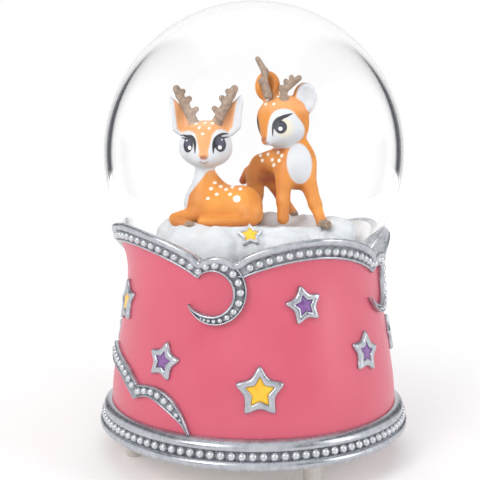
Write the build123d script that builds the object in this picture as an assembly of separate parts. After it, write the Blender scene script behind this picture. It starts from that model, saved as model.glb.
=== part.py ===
from build123d import *
import os
from math import cos, pi, radians, sin, sqrt

os.makedirs("parts", exist_ok=True)

# Musical snow globe with two fawns on a cloud. Millimetres, +Z up, origin on the table under the
# centre of the feet. The front faces -Y. Bearings round the base are degrees from the front,
# towards +X.

# ---------------------------------------------------------------- driving dimensions
GLOBE_RADIUS = 50.0
GLOBE_CENTRE_Z = 97.5
GLASS_WALL = 2.2
NECK_RADIUS = 27.0
NECK_BOTTOM_Z = 49.0
SEAT_GAP = 0.3

FOOT_HEIGHT = 9.4
FOOT_CIRCLE = 42.0
FOOT_TOP_RADIUS = 3.2
FOOT_END_RADIUS = 2.6
FOOT_COUNT = 4
FIRST_FOOT_BEARING = 24.3

SKIRT_RADIUS = 48.0
SKIRT_TOP_Z = 16.8
WAIST = [(48.0, 16.8), (47.4, 25.0), (45.4, 38.0), (43.7, 48.0), (42.6, 58.5), (43.2, 65.0),
         (45.6, 71.0), (47.2, 79.0)]
NECK_HOLE_RADIUS = 29.0
ROOF_Z = 51.5

FIRST_TIP = -22.4
SHORT_SWAG = 79.1
TALL_SWAG = 100.9
SHORT_RISE = 4.95
TALL_RISE = 8.8
TIP_Z = 60.5
BAND_HEIGHT = 6.1
BAND_THICKNESS = 1.3
RIM_DROP = 0.9
MOON_RADIUS = 9.5
MOON_BITE_RADIUS = 6.3
MOON_Z = 57.0
MOON_OFFSET = 9.1
MOON_SPAN = 19.4
MOON_THICKNESS = 1.9
GLUE_FILM = 0.05
WRAP_RADIUS = 44.6

TRIM_BOTTOM_Z = 9.0
TRIM_RADIUS = 52.0

COVER_THICKNESS = 2.0
COVER_RADIUS = 44.9
COVER_TOP_Z = FOOT_HEIGHT + COVER_THICKNESS
BOSS_CIRCLE = 42.3
BOSS_RADIUS = 3.2
BOSS_TOP_Z = 20.0
COVER_SCREW_RADIUS = 1.45
HEAD_HEIGHT = 1.2

PLUG_TOP_Z = 58.0

BEDPLATE_THICKNESS = 1.6
BEDPLATE_TOP_Z = COVER_TOP_Z + BEDPLATE_THICKNESS
ARBOR_RADIUS = 2.0
RUNNING = 0.05
BARREL_RADIUS = 12.6
BARREL_BOTTOM_Z = BEDPLATE_TOP_Z + 1.0
BARREL_TOP_Z = 21.5
CROWN_TEETH = 30
CROWN_MODULE = 0.8
CROWN_PITCH_Z = 22.6
PINION_TEETH = 12
TRAIN_MODULE = 0.4
CYLINDER_WHEEL_TEETH = 40
GOVERNOR_PINION_TEETH = 16
WORM_MODULE = 0.6
WORM_WHEEL_TEETH = 16
WORM_RADIUS = 1.6
CYLINDER_RADIUS = 4.5
PIN_LENGTH = 0.45
NOTES = 18
NOTE_PITCH = 0.95
FIRST_NOTE_X = 16.6
PIN_COUNT = 72

ADDENDUM = 0.65
DEDENDUM = 1.1
TOOTH_ROOT_SHARE = 0.23
TOOTH_TIP_SHARE = 0.10

CYLINDER_AXIS_Z = CROWN_PITCH_Z + CROWN_MODULE * PINION_TEETH / 2
GOVERNOR_Y = TRAIN_MODULE * (CYLINDER_WHEEL_TEETH + GOVERNOR_PINION_TEETH) / 2
WORM_Y = GOVERNOR_Y + WORM_MODULE * WORM_WHEEL_TEETH / 2 + WORM_RADIUS
WORM_X = 31.2
TRAIN_X = 35.5


STANDING = (Align.CENTER, Align.CENTER, Align.MIN)


# ---------------------------------------------------------------- helpers
def polar(radius, bearing, z=0.0):
    """A point at a bearing round the base, measured from the front towards +X."""
    return (radius * sin(radians(bearing)), -radius * cos(radians(bearing)), z)


def spin(points):
    """A solid of revolution about Z from a closed outline of (radius, z) edges or points."""
    outline = Polyline(*points, close=True) if isinstance(points[0], tuple) else Curve() + points
    return revolve(make_face(Plane.XZ * outline), axis=Axis.Z)


def arc(start, middle, end):
    """A circular arc in the (radius, z) plane."""
    return ThreePointArc(start, middle, end)


def ring(outer, inner, bottom, top):
    """A plain ring or, with no inner radius, a disc."""
    height = top - bottom
    body = Pos(0, 0, bottom) * Cylinder(outer, height, align=STANDING)
    if inner > 0:
        body -= Pos(0, 0, bottom) * Cylinder(inner, height, align=STANDING)
    return body


def block(x, y, z):
    """A box between two limits on each axis."""
    size = (x[1] - x[0], y[1] - y[0], z[1] - z[0])
    return Pos(x[0], y[0], z[0]) * Box(*size, align=(Align.MIN, Align.MIN, Align.MIN))


def rod(start, end, radius):
    """A round bar between two points."""
    run = Vector(*end) - Vector(*start)
    return extrude(Plane(origin=start, z_dir=run) * Circle(radius), amount=run.length)


def limb(start, end, start_radius, end_radius):
    """A tapered limb with round ends."""
    run = Vector(*end) - Vector(*start)
    cone = Cone(start_radius, end_radius, run.length, align=STANDING)
    shape = Plane(origin=start, z_dir=run) * cone
    shape += Pos(*start) * Sphere(start_radius)
    shape += Pos(*end) * Sphere(end_radius)
    return shape


def ellipsoid(centre, radii, turn=0.0):
    """An ellipsoid, turned about Z."""
    return Pos(*centre) * Rot(0, 0, turn) * scale(Sphere(1), by=radii)


def joined(shapes):
    """All the shapes fused into one."""
    result = shapes[0]
    for shape in shapes[1:]:
        result += shape
    return result


# ---------------------------------------------------------------- base surface and its relief
def waist_curve(offset):
    """The base's waisted side, moved outwards by an offset."""
    return Spline(*[(radius + offset, z) for radius, z in WAIST])


def side_layer(low, high):
    """The layer that lies between two offsets of the waisted side, all round."""
    inner = waist_curve(low)
    outer = waist_curve(high)
    caps = [Line(inner @ 0, outer @ 0), Line(inner @ 1, outer @ 1)]
    return spin([inner, outer] + caps)


def relief(bearing, z, sketch, layer):
    """A flat sketch pushed straight out of the base at a bearing, cut to a layer of its side."""
    start = polar(30.0, bearing, z)
    outward = polar(1.0, bearing)
    sideways = polar(1.0, bearing + 90)
    prism = extrude(Plane(origin=start, x_dir=sideways, z_dir=outward) * sketch, amount=30.0)
    return prism & layer


def star(radius, turn):
    """A five-pointed star with one point up before it is turned."""
    points = []
    for corner in range(10):
        reach = radius if corner % 2 == 0 else 0.52 * radius
        angle = radians(90 + turn + 36 * corner)
        points.append((reach * cos(angle), reach * sin(angle)))
    return Polygon(*points, align=None)


def swags():
    """Bearing of the tip, bearing of the next tip and rise of each of the four swags."""
    found = []
    tip = FIRST_TIP
    for width, rise in [(SHORT_SWAG, SHORT_RISE), (TALL_SWAG, TALL_RISE)] * 2:
        found.append((tip, tip + width, rise))
        tip += width
    return found


def swag_low(bearing, cusp, next_tip, rise):
    """Height of a swag's lower edge: an arch between the moon's side and the next tip."""
    middle = (cusp + next_tip) / 2
    half = (next_tip - cusp) / 2
    share = max(0.0, cos(pi / 2 * (bearing - middle) / half))
    return TIP_Z + rise * share ** 0.85


def moon_top(bearing, tip):
    """Height of the moon's outer circle at a bearing."""
    along = radians(bearing - tip - MOON_OFFSET) * WRAP_RADIUS
    return MOON_Z + sqrt(MOON_RADIUS ** 2 - along ** 2)


JOIN_LEFT = 2.2
JOIN_RIGHT = 16.2
MOON_SAMPLES = 7
SWAG_SAMPLES = 19


def spread(start, end, count):
    """Evenly spaced values from start to end."""
    return [start + (end - start) * step / (count - 1) for step in range(count)]


def top_edge(drop):
    """Stretches of (bearing, z) along the scalloped rim, each a smooth curve."""
    stretches = []
    for tip, next_tip, rise in swags():
        cusp = tip + MOON_SPAN
        moon_bearings = spread(tip + JOIN_LEFT, tip + JOIN_RIGHT, MOON_SAMPLES)
        moon = [(b, moon_top(b, tip) - drop) for b in moon_bearings]
        inner = [(b, swag_low(b, cusp, next_tip, rise) + BAND_HEIGHT - drop)
                 for b in spread(cusp, next_tip, SWAG_SAMPLES)]
        end = (next_tip + JOIN_LEFT, moon_top(next_tip + JOIN_LEFT, next_tip) - drop)
        stretches.append(moon)
        stretches.append([moon[-1]] + inner + [end])
    return stretches


def low_edge():
    """Stretches of (bearing, z) along the lower edge of the upper band."""
    stretches = []
    for tip, next_tip, rise in swags():
        cusp = tip + MOON_SPAN
        stretches.append([(b, TIP_Z) for b in spread(tip, cusp, 3)])
        swag_bearings = spread(cusp, next_tip, SWAG_SAMPLES)
        stretches.append([(b, swag_low(b, cusp, next_tip, rise)) for b in swag_bearings])
    return stretches


def wave_ring(stretches, inner, outer, far_z):
    """A ring whose one face waves along the stretches and whose other face is flat at far_z."""
    faces = []
    for stretch in stretches:
        near = Edge.make_spline([Vector(*polar(inner, b, z)) for b, z in stretch])
        wide = Edge.make_spline([Vector(*polar(outer, b, z)) for b, z in stretch])
        first = stretch[0][0]
        last = stretch[-1][0]
        middle = (first + last) / 2
        ends = []
        for radius in (inner, outer):
            points = [polar(radius, b, far_z) for b in (first, middle, last)]
            ends.append(Edge.make_three_point_arc(*points))
        faces.append(Face.make_surface_from_curves(near, wide))
        faces.append(Face.make_surface_from_curves(near, ends[0]))
        faces.append(Face.make_surface_from_curves(wide, ends[1]))
        faces.append(Face.make_surface_from_curves(ends[0], ends[1]))
    return Solid(Shell(faces))


# ---------------------------------------------------------------- base shell and its trims
SEAT_RADIUS = GLOBE_RADIUS + SEAT_GAP


def seat_z(radius):
    """Height of the ball's seat at a radius."""
    return GLOBE_CENTRE_Z - sqrt(SEAT_RADIUS ** 2 - radius ** 2)


def seat_radius(z):
    """Radius of the ball's seat at a height."""
    return sqrt(SEAT_RADIUS ** 2 - (GLOBE_CENTRE_Z - z) ** 2)


def base_shell():
    side = waist_curve(0)
    top_radius, top_z = WAIST[-1]
    seat_start = (NECK_HOLE_RADIUS, seat_z(NECK_HOLE_RADIUS))
    seat_middle = (40.0, seat_z(40.0))
    seat_end = (seat_radius(top_z), top_z)
    cavity = [(45.0, FOOT_HEIGHT), (45.0, 16.8), (44.3, 25.0), (42.2, 38.0), (39.6, ROOF_Z)]
    outline = [
        Line((45.0, FOOT_HEIGHT), (SKIRT_RADIUS, FOOT_HEIGHT)),
        Line((SKIRT_RADIUS, FOOT_HEIGHT), (SKIRT_RADIUS, SKIRT_TOP_Z)),
        side,
        Line((top_radius, top_z), seat_end),
        arc(seat_end, seat_middle, seat_start),
        Polyline(seat_start, (NECK_HOLE_RADIUS, ROOF_Z), cavity[-1]),
        Polyline(*cavity),
    ]
    shell = spin(outline)
    shell -= wave_ring(top_edge(RIM_DROP), 30.0, 60.0, 90.0)
    hole = Cylinder(COVER_SCREW_RADIUS + RUNNING, 30.0)
    for bearing in (0, 90, 180, 270):
        shell += Pos(*polar(BOSS_CIRCLE, bearing)) * ring(BOSS_RADIUS, 0, COVER_TOP_Z, BOSS_TOP_Z)
    for bearing in (0, 90, 180, 270):
        shell -= Pos(*polar(BOSS_CIRCLE, bearing, 4.0)) * hole
    return shell


def upper_trim():
    band = side_layer(GLUE_FILM, BAND_THICKNESS)
    band -= wave_ring(top_edge(0.0), 30.0, 60.0, 90.0)
    band -= wave_ring(low_edge(), 30.0, 60.0, 5.0)
    return band


def lower_trim():
    profile = [
        Polyline((SKIRT_RADIUS, SKIRT_TOP_Z), (SKIRT_RADIUS, TRIM_BOTTOM_Z), (51.1, TRIM_BOTTOM_Z)),
        arc((51.1, TRIM_BOTTOM_Z), (51.75, 9.35), (TRIM_RADIUS, 10.2)),
        arc((TRIM_RADIUS, 10.2), (51.8, 10.9), (51.3, 11.3)),
        arc((51.3, 11.3), (51.55, 12.8), (51.0, 14.3)),
        arc((51.0, 14.3), (50.7, 15.9), (49.4, SKIRT_TOP_Z)),
        Line((49.4, SKIRT_TOP_Z), (SKIRT_RADIUS, SKIRT_TOP_Z)),
    ]
    return spin(profile)


def crescent_moons():
    """The lower part of each moon; its top is part of the upper band."""
    layer = side_layer(GLUE_FILM, MOON_THICKNESS)
    crescent = Circle(MOON_RADIUS) - Pos(-2.5, -1.0) * Circle(MOON_BITE_RADIUS)
    top = TIP_Z - MOON_Z - GLUE_FILM
    crescent -= Pos(0, top + MOON_RADIUS / 2) * Rectangle(3 * MOON_RADIUS, MOON_RADIUS)
    return [relief(tip + MOON_OFFSET, MOON_Z, crescent, layer) for tip, _, _ in swags()]


# bearing, height, tip radius and turn of each star, on the front half; the back half repeats them
PURPLE_STARS = [(19.4, 52.7, 5.5, 12.0), (46.6, 37.4, 6.0, -9.0), (-34.0, 36.0, 5.5, -10.0)]
YELLOW_STARS = [(2.3, 29.6, 7.0, 0.0), (-66.5, 50.4, 6.9, 6.0), (84.0, 38.3, 6.0, 8.0)]
PURPLE_SHARE = 0.54
YELLOW_SHARE = 0.62
STAR_FRAME_THICKNESS = 1.7
STAR_INLAY_THICKNESS = 0.7


def both_sides(stars):
    """The stars of the front half, and the same stars half a turn round."""
    return stars + [(bearing + 180, z, radius, turn) for bearing, z, radius, turn in stars]


def star_frames():
    """Each frame is a star with a smaller star cut out of it for the coloured inlay."""
    layer = side_layer(GLUE_FILM, STAR_FRAME_THICKNESS)
    frames = []
    for stars, share in ((PURPLE_STARS, PURPLE_SHARE), (YELLOW_STARS, YELLOW_SHARE)):
        for bearing, z, radius, turn in both_sides(stars):
            outline = star(radius, turn) - star(share * radius, turn)
            frames.append(relief(bearing, z, outline, layer))
    return frames


def star_inlays(stars, share):
    layer = side_layer(GLUE_FILM, STAR_INLAY_THICKNESS)
    inlays = []
    for bearing, z, radius, turn in both_sides(stars):
        inlays.append(relief(bearing, z, star(share * radius, turn), layer))
    return inlays


RIBBON_BEARING = -45.0
RIBBON_TOP = [(-76, 36.2), (-68.9, 35.1), (-54.2, 32.0), (-45.2, 27.9), (-36.5, 28.4),
              (-29.6, 26.6), (-20.6, 17.0)]
RIBBON_LOW = [(-22.6, 17.0), (-25.8, 21.2), (-35.9, 24.6), (-41.8, 24.5), (-46.3, 23.35),
              (-56.8, 28.3), (-76, 31.4)]
RIBBON_THICKNESS = 1.5


def ribbons():
    """A hanging ribbon and, from its tip, a crescent that ends on the lower trim."""
    layer = side_layer(GLUE_FILM, RIBBON_THICKNESS)

    def flat(points):
        return [(47.6 * sin(radians(bearing - RIBBON_BEARING)), z) for bearing, z in points]

    top = flat(RIBBON_TOP)
    low = flat(RIBBON_LOW)
    outline = [
        Spline(*top[:4]),
        Spline(*top[3:]),
        Line(top[-1], low[0]),
        Spline(*low[:5]),
        Spline(*low[4:]),
        Line(low[-1], top[0]),
    ]
    sketch = make_face(Curve() + outline)
    return [relief(RIBBON_BEARING + turn, 0.0, sketch, layer) for turn in (0, 180)]


# ---------------------------------------------------------------- underside
MOVEMENT_SCREWS = [(-12.5, -14.5), (-12.5, 14.5), (34.5, -14.5), (24.0, 14.5)]
MOVEMENT_SCREW_RADIUS = 1.25


def bottom_cover():
    cover = ring(COVER_RADIUS, 4.6, FOOT_HEIGHT, COVER_TOP_Z)
    for bearing in (0, 90, 180, 270):
        cover -= Pos(*polar(BOSS_CIRCLE, bearing, FOOT_HEIGHT)) * Cylinder(1.7, 10.0)
    for x, y in MOVEMENT_SCREWS:
        cover -= Pos(x, y, FOOT_HEIGHT) * Cylinder(1.45, 10.0)
    return cover


def feet():
    shapes = []
    for number in range(FOOT_COUNT):
        bearing = FIRST_FOOT_BEARING + number * 360 / FOOT_COUNT
        peg = Cone(FOOT_END_RADIUS, FOOT_TOP_RADIUS, FOOT_HEIGHT, align=STANDING)
        peg = fillet(peg.edges().sort_by(Axis.Z)[0], 0.7)
        shapes.append(Pos(*polar(FOOT_CIRCLE, bearing)) * peg)
    return shapes


def screw(x, y, head_z, head_radius, shank_radius, end_z):
    """A pan-head screw that points up, with a cross recess in its head."""
    head = ring(head_radius, 0, head_z - HEAD_HEIGHT, head_z)
    head = fillet(head.edges().sort_by(Axis.Z)[0], 0.5)
    for size in ((0.5, 2.4), (2.4, 0.5)):
        head -= Pos(0, 0, head_z - HEAD_HEIGHT) * Box(size[0], size[1], 1.2)
    return Pos(x, y, 0) * (head + ring(shank_radius, 0, head_z, end_z))


def cover_screws():
    places = [polar(BOSS_CIRCLE, bearing) for bearing in (0, 90, 180, 270)]
    return [screw(x, y, FOOT_HEIGHT, 2.6, COVER_SCREW_RADIUS, 18.0) for x, y, _ in places]


def bedplate_screws():
    end_z = BEDPLATE_TOP_Z - 0.3
    return [screw(x, y, FOOT_HEIGHT, 2.2, MOVEMENT_SCREW_RADIUS, end_z) for x, y in MOVEMENT_SCREWS]


# ---------------------------------------------------------------- ball and its contents
def glass_globe():
    inner_radius = GLOBE_RADIUS - GLASS_WALL
    bore = NECK_RADIUS - GLASS_WALL
    outer_z = GLOBE_CENTRE_Z - sqrt(GLOBE_RADIUS ** 2 - NECK_RADIUS ** 2)
    inner_z = GLOBE_CENTRE_Z - sqrt(inner_radius ** 2 - bore ** 2)
    outline = [
        arc((0, GLOBE_CENTRE_Z + GLOBE_RADIUS), (GLOBE_RADIUS, GLOBE_CENTRE_Z), (NECK_RADIUS, outer_z)),
        Polyline((NECK_RADIUS, outer_z), (NECK_RADIUS, NECK_BOTTOM_Z)),
        Polyline((NECK_RADIUS, NECK_BOTTOM_Z), (bore, NECK_BOTTOM_Z), (bore, inner_z)),
        arc((bore, inner_z), (inner_radius, GLOBE_CENTRE_Z), (0, GLOBE_CENTRE_Z + inner_radius)),
        Line((0, GLOBE_CENTRE_Z + inner_radius), (0, GLOBE_CENTRE_Z + GLOBE_RADIUS)),
    ]
    return spin(outline)


def rubber_stopper():
    plug_radius = NECK_RADIUS - GLASS_WALL
    return spin([
        (0, 46.8), (27.4, 46.8), (27.4, NECK_BOTTOM_Z), (plug_radius, NECK_BOTTOM_Z),
        (plug_radius, 56.0), (plug_radius - 1.0, PLUG_TOP_Z), (0, PLUG_TOP_Z),
    ])


def neck_gasket():
    return ring(NECK_HOLE_RADIUS, NECK_RADIUS, ROOF_Z, 55.2)


# centre and radius of each puff of the cloud
CLOUD_PUFFS = [
    (-25.5, -5.0, 68.6, 7.6),
    (-20.5, -14.5, 66.8, 8.4),
    (-11.5, -20.5, 65.4, 8.6),
    (-1.0, -22.0, 67.6, 6.6),
    (9.5, -20.0, 65.2, 8.4),
    (18.5, -14.0, 66.8, 8.2),
    (25.5, -4.0, 68.2, 7.2),
    (20.0, 12.0, 68.6, 8.0),
    (8.0, 19.0, 69.6, 8.0),
    (-6.0, 20.0, 69.0, 8.2),
    (-18.5, 13.0, 68.6, 8.2),
]


def cloud_plinth():
    """Puffs round a core, kept clear of the inside of the glass."""
    core = Pos(0, 0, 60.0) * Cylinder(23.0, 13.6, align=STANDING)
    core = fillet(core.edges().sort_by(Axis.Z)[-1], 4.0)
    column = ring(17.0, 0, PLUG_TOP_Z, 61.0)
    puffs = [Pos(x, y, z) * Sphere(radius) for x, y, z, radius in CLOUD_PUFFS]
    cloud = joined([core, column] + puffs)
    cloud -= ring(NECK_RADIUS, 0, PLUG_TOP_Z - 5.0, PLUG_TOP_Z)
    return cloud & Pos(0, 0, GLOBE_CENTRE_Z) * Sphere(GLOBE_RADIUS - GLASS_WALL - SEAT_GAP)


CLOUD_STAR_PLANE = Plane(origin=(-1.0, -25.6, 72.1), x_dir=(1, 0, 0), z_dir=(0, -1, 0.75))
CLOUD_STAR_RADIUS = 2.9
CLOUD_STAR_WIDTH = 1.3


def cloud_star_frame():
    outline = star(CLOUD_STAR_RADIUS + CLOUD_STAR_WIDTH, 4.0) - star(CLOUD_STAR_RADIUS, 4.0)
    return extrude(CLOUD_STAR_PLANE * outline, amount=1.6)


def cloud_star_inlay():
    return extrude(CLOUD_STAR_PLANE * star(CLOUD_STAR_RADIUS, 4.0), amount=0.8)


def lying_fawn():
    return joined([
        ellipsoid((-8.5, -3.5, 80.8), (13.0, 8.5, 7.0), -6.0),
        ellipsoid((-16.0, -8.0, 101.0), (9.3, 8.3, 8.3)),
        ellipsoid((-15.8, -14.2, 96.4), (4.8, 3.8, 3.4)),
        limb((-15.6, -6.0, 95.0), (-14.0, -5.0, 84.0), 4.4, 6.2),
        limb((-21.5, -6.0, 106.5), (-27.0, -6.0, 115.0), 2.6, 1.4),
        limb((-10.5, -6.0, 106.5), (-5.2, -6.0, 115.0), 2.6, 1.4),
        limb((-19.6, -7.0, 107.5), (-25.4, -7.0, 118.8), 1.1, 0.7),
        limb((-13.3, -7.0, 107.5), (-6.6, -7.0, 118.8), 1.1, 0.7),
        limb((-14.5, -9.0, 79.0), (-26.0, -11.5, 75.6), 3.2, 2.1),
        limb((-12.0, -11.0, 77.0), (-19.5, -15.0, 74.6), 3.0, 2.0),
        limb((-1.0, -8.5, 77.5), (-8.0, -13.0, 75.0), 3.6, 2.2),
        limb((3.0, -2.0, 82.0), (6.0, -1.0, 84.5), 2.0, 1.2),
    ])


def standing_fawn():
    return joined([
        ellipsoid((7.5, 9.5, 92.5), (12.0, 7.4, 7.2), -28.0),
        ellipsoid((10.2, 2.0, 109.6), (9.0, 8.6, 9.2)),
        ellipsoid((4.6, -4.2, 103.0), (4.6, 4.4, 4.0)),
        limb((11.5, 3.5, 103.5), (14.5, 5.0, 94.0), 4.8, 6.4),
        ellipsoid((4.4, 0.5, 120.6), (4.2, 1.8, 5.4)),
        ellipsoid((17.6, 1.5, 116.2), (3.8, 1.8, 5.4)),
        limb((5.0, 0.0, 116.5), (1.2, -1.0, 129.4), 1.1, 0.7),
        limb((10.6, 0.5, 115.5), (16.2, 0.5, 123.6), 1.1, 0.7),
        limb((13.0, 2.5, 90.0), (9.8, -1.5, 75.8), 3.1, 2.1),
        limb((17.5, 4.0, 90.0), (24.2, -1.5, 74.0), 3.1, 2.1),
        limb((1.0, 13.0, 90.0), (1.0, 15.0, 75.6), 3.6, 2.1),
        limb((7.0, 11.5, 89.0), (14.2, 13.0, 77.0), 3.4, 2.1),
        limb((-1.5, 14.3, 94.0), (-6.0, 16.5, 98.0), 2.2, 1.1),
    ])


FLAKE_COUNT = 150
FLAKE_RADIUS = 0.8
FLAKE_THICKNESS = 0.25
GOLDEN_ANGLE = 137.508


def snow_flakes():
    """Six-sided flakes that lie on the inside of the ball, under the cloud's edge."""
    flakes = []
    inner_radius = GLOBE_RADIUS - GLASS_WALL
    for number in range(FLAKE_COUNT):
        polar_angle = radians(135 + 9 * ((number * 0.618) % 1))
        outward = Vector(*polar(sin(polar_angle), GOLDEN_ANGLE * number, cos(polar_angle)))
        centre = Vector(0, 0, GLOBE_CENTRE_Z) + outward * (inner_radius - 0.2)
        gaps = [(centre - Vector(x, y, z)).length - radius for x, y, z, radius in CLOUD_PUFFS]
        if min(gaps) < FLAKE_RADIUS + 0.5:
            continue
        flake = Plane(origin=centre, z_dir=outward) * RegularPolygon(FLAKE_RADIUS, 6)
        flakes.append(extrude(flake, amount=-FLAKE_THICKNESS))
    return flakes


# ---------------------------------------------------------------- gears
def toothed_outline(teeth, module):
    """The outline of a wheel with straight-sided teeth; the first tooth is on the x axis."""
    pitch = 360 / teeth
    root = module * (teeth / 2 - DEDENDUM)
    tip = module * (teeth / 2 + ADDENDUM)
    points = []
    for tooth in range(teeth):
        for radius, share in ((root, -TOOTH_ROOT_SHARE), (tip, -TOOTH_TIP_SHARE),
                              (tip, TOOTH_TIP_SHARE), (root, TOOTH_ROOT_SHARE)):
            angle = radians(pitch * (tooth + share))
            points.append((radius * cos(angle), radius * sin(angle)))
    return Polygon(*points, align=None)


def wheel_on_x(teeth, module, x, y, bore, first_tooth):
    """A wheel whose arbor runs along X. first_tooth is its angle about +X, from +Y."""
    plane = Plane(origin=(x[0], y, CYLINDER_AXIS_Z), x_dir=(0, 1, 0), z_dir=(1, 0, 0))
    sketch = Rot(0, 0, first_tooth) * toothed_outline(teeth, module) - Circle(bore)
    return extrude(plane * sketch, amount=x[1] - x[0])


def helical_thread(radius, pitch, turns, start_angle, start_z):
    """A right-handed thread of straight-sided section."""
    root = WORM_RADIUS - WORM_MODULE * DEDENDUM - 0.1
    tip = WORM_RADIUS + WORM_MODULE * ADDENDUM
    helix = Helix(pitch=pitch, height=pitch * turns, radius=radius)
    path = Pos(0, 0, start_z) * Rot(0, 0, start_angle) * helix
    start = path @ 0
    outward = Vector(cos(radians(start_angle)), sin(radians(start_angle)), 0)
    section_plane = Plane(origin=start, x_dir=outward, z_dir=path % 0)
    half_root = TOOTH_ROOT_SHARE * pitch
    half_tip = TOOTH_TIP_SHARE * pitch
    section = Polygon((root - radius, -half_root), (tip - radius, -half_tip),
                      (tip - radius, half_tip), (root - radius, half_root), align=None)
    return sweep(section_plane * section, path=path, is_frenet=True)


# ---------------------------------------------------------------- musical movement
def movement_bedplate():
    plate = block((-16.0, 38.4), (-18.4, 18.4), (COVER_TOP_Z, BEDPLATE_TOP_Z))
    plate += block((27.0, 35.0), (18.0, 21.6), (COVER_TOP_Z, BEDPLATE_TOP_Z))
    plate -= Pos(0, 0, BEDPLATE_TOP_Z) * Cylinder(ARBOR_RADIUS + RUNNING, 10.0)
    for x, y in MOVEMENT_SCREWS:
        plate -= Pos(x, y, COVER_TOP_Z) * Cylinder(MOVEMENT_SCREW_RADIUS + RUNNING, 10.0)
    return plate


def winding_key():
    hub = ring(3.4, ARBOR_RADIUS, 2.6, 8.0)
    wing = Plane(origin=(0, 0.8, 5.2), x_dir=(1, 0, 0), z_dir=(0, -1, 0)) * SlotOverall(24.0, 5.6)
    wings = extrude(wing, amount=1.6)
    for side in (-1, 1):
        wings -= Pos(side * 8.4, 0, 5.2) * Rot(90, 0, 0) * Cylinder(1.4, 4.0)
    wings -= ring(3.0, 0, 0.0, 10.0)
    return hub + wings


def winding_arbor():
    return ring(ARBOR_RADIUS, 0, 2.6, 26.2)


def spring_barrel():
    wall = ring(BARREL_RADIUS, 11.4, BARREL_BOTTOM_Z + 0.9, BARREL_TOP_Z)
    top = ring(BARREL_RADIUS, ARBOR_RADIUS + RUNNING, BARREL_TOP_Z - 0.9, BARREL_TOP_Z)
    hub = ring(4.0, ARBOR_RADIUS + RUNNING, BARREL_TOP_Z - 0.9, 24.0)
    pitch = pi * CROWN_MODULE
    top_z = CROWN_PITCH_Z + ADDENDUM * CROWN_MODULE
    low_z = BARREL_TOP_Z - 0.3
    half_low = TOOTH_ROOT_SHARE * pitch
    half_top = TOOTH_TIP_SHARE * pitch
    corners = [(-half_low, low_z), (half_low, low_z), (half_top, top_z), (-half_top, top_z)]
    plane = Plane(origin=(10.6, 0, 0), x_dir=(0, 1, 0), z_dir=(1, 0, 0))
    tooth = extrude(plane * Polygon(*corners, align=None), amount=1.9)
    teeth = [Rot(0, 0, number * 360 / CROWN_TEETH) * tooth for number in range(CROWN_TEETH)]
    return (wall + top + hub) + teeth


def barrel_cover():
    return ring(BARREL_RADIUS, ARBOR_RADIUS + RUNNING, BARREL_BOTTOM_Z, BARREL_BOTTOM_Z + 0.9)


SPRING_TURNS = 6
SPRING_STRIP = 0.45


def mainspring():
    """A spiral strip between the arbor and the barrel's wall."""
    def spiral(extra):
        points = []
        for step in range(SPRING_TURNS * 8 + 1):
            turn = step / 8
            radius = 3.2 + (10.4 - 3.2) * turn / SPRING_TURNS + extra
            points.append((radius * cos(2 * pi * turn), radius * sin(2 * pi * turn)))
        return Spline(*points)

    inner = spiral(0.0)
    outer = spiral(SPRING_STRIP)
    ends = [Line(inner @ 0, outer @ 0), Line(inner @ 1, outer @ 1)]
    strip = make_face(Curve() + [inner, outer] + ends)
    return Pos(0, 0, 15.4) * extrude(strip, amount=4.8)


def barrel_bridge():
    bridge = block((-4.0, 4.0), (-17.8, 17.8), (24.6, 26.2))
    for y in ((-17.8, -13.8), (13.8, 17.8)):
        bridge += block((-4.0, 4.0), y, (BEDPLATE_TOP_Z, 24.8))
    return bridge - Pos(0, 0, 25.0) * Cylinder(ARBOR_RADIUS + RUNNING, 10.0)


def music_cylinder():
    drum = rod((15.6, 0, CYLINDER_AXIS_Z), (34.0, 0, CYLINDER_AXIS_Z), CYLINDER_RADIUS)
    pins = []
    for number in range(PIN_COUNT):
        note = (number * 7) % NOTES
        turn = radians(number * GOLDEN_ANGLE)
        outward = (0, cos(turn), sin(turn))
        x = FIRST_NOTE_X + note * NOTE_PITCH
        start = (x, 4.0 * outward[1], CYLINDER_AXIS_Z + 4.0 * outward[2])
        pins.append(extrude(Plane(origin=start, z_dir=outward) * Circle(0.2), amount=0.5 + PIN_LENGTH))
    drum += pins
    return drum - rod((15.0, 0, CYLINDER_AXIS_Z), (35.0, 0, CYLINDER_AXIS_Z), 0.8)


def cylinder_arbor():
    return rod((10.2, 0, CYLINDER_AXIS_Z), (39.0, 0, CYLINDER_AXIS_Z), 0.8)


def cylinder_pinion():
    half_pitch = 180 / PINION_TEETH
    return wheel_on_x(PINION_TEETH, CROWN_MODULE, (10.9, 12.2), 0.0, 0.8, half_pitch - 90)


def cylinder_wheel():
    return wheel_on_x(CYLINDER_WHEEL_TEETH, TRAIN_MODULE, (TRAIN_X - 0.5, TRAIN_X + 0.5), 0.0, 0.8, 0.0)


def governor_pinion():
    half_pitch = 180 / GOVERNOR_PINION_TEETH
    width = (TRAIN_X - 0.5, TRAIN_X + 0.5)
    turn = 180 + half_pitch
    return wheel_on_x(GOVERNOR_PINION_TEETH, TRAIN_MODULE, width, GOVERNOR_Y, 0.6, turn)


def governor_wheel():
    return wheel_on_x(WORM_WHEEL_TEETH, WORM_MODULE, (WORM_X - 0.5, WORM_X + 0.5), GOVERNOR_Y, 0.6, 0.0)


def governor_arbor():
    return rod((28.2, GOVERNOR_Y, CYLINDER_AXIS_Z), (38.9, GOVERNOR_Y, CYLINDER_AXIS_Z), 0.6)


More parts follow.
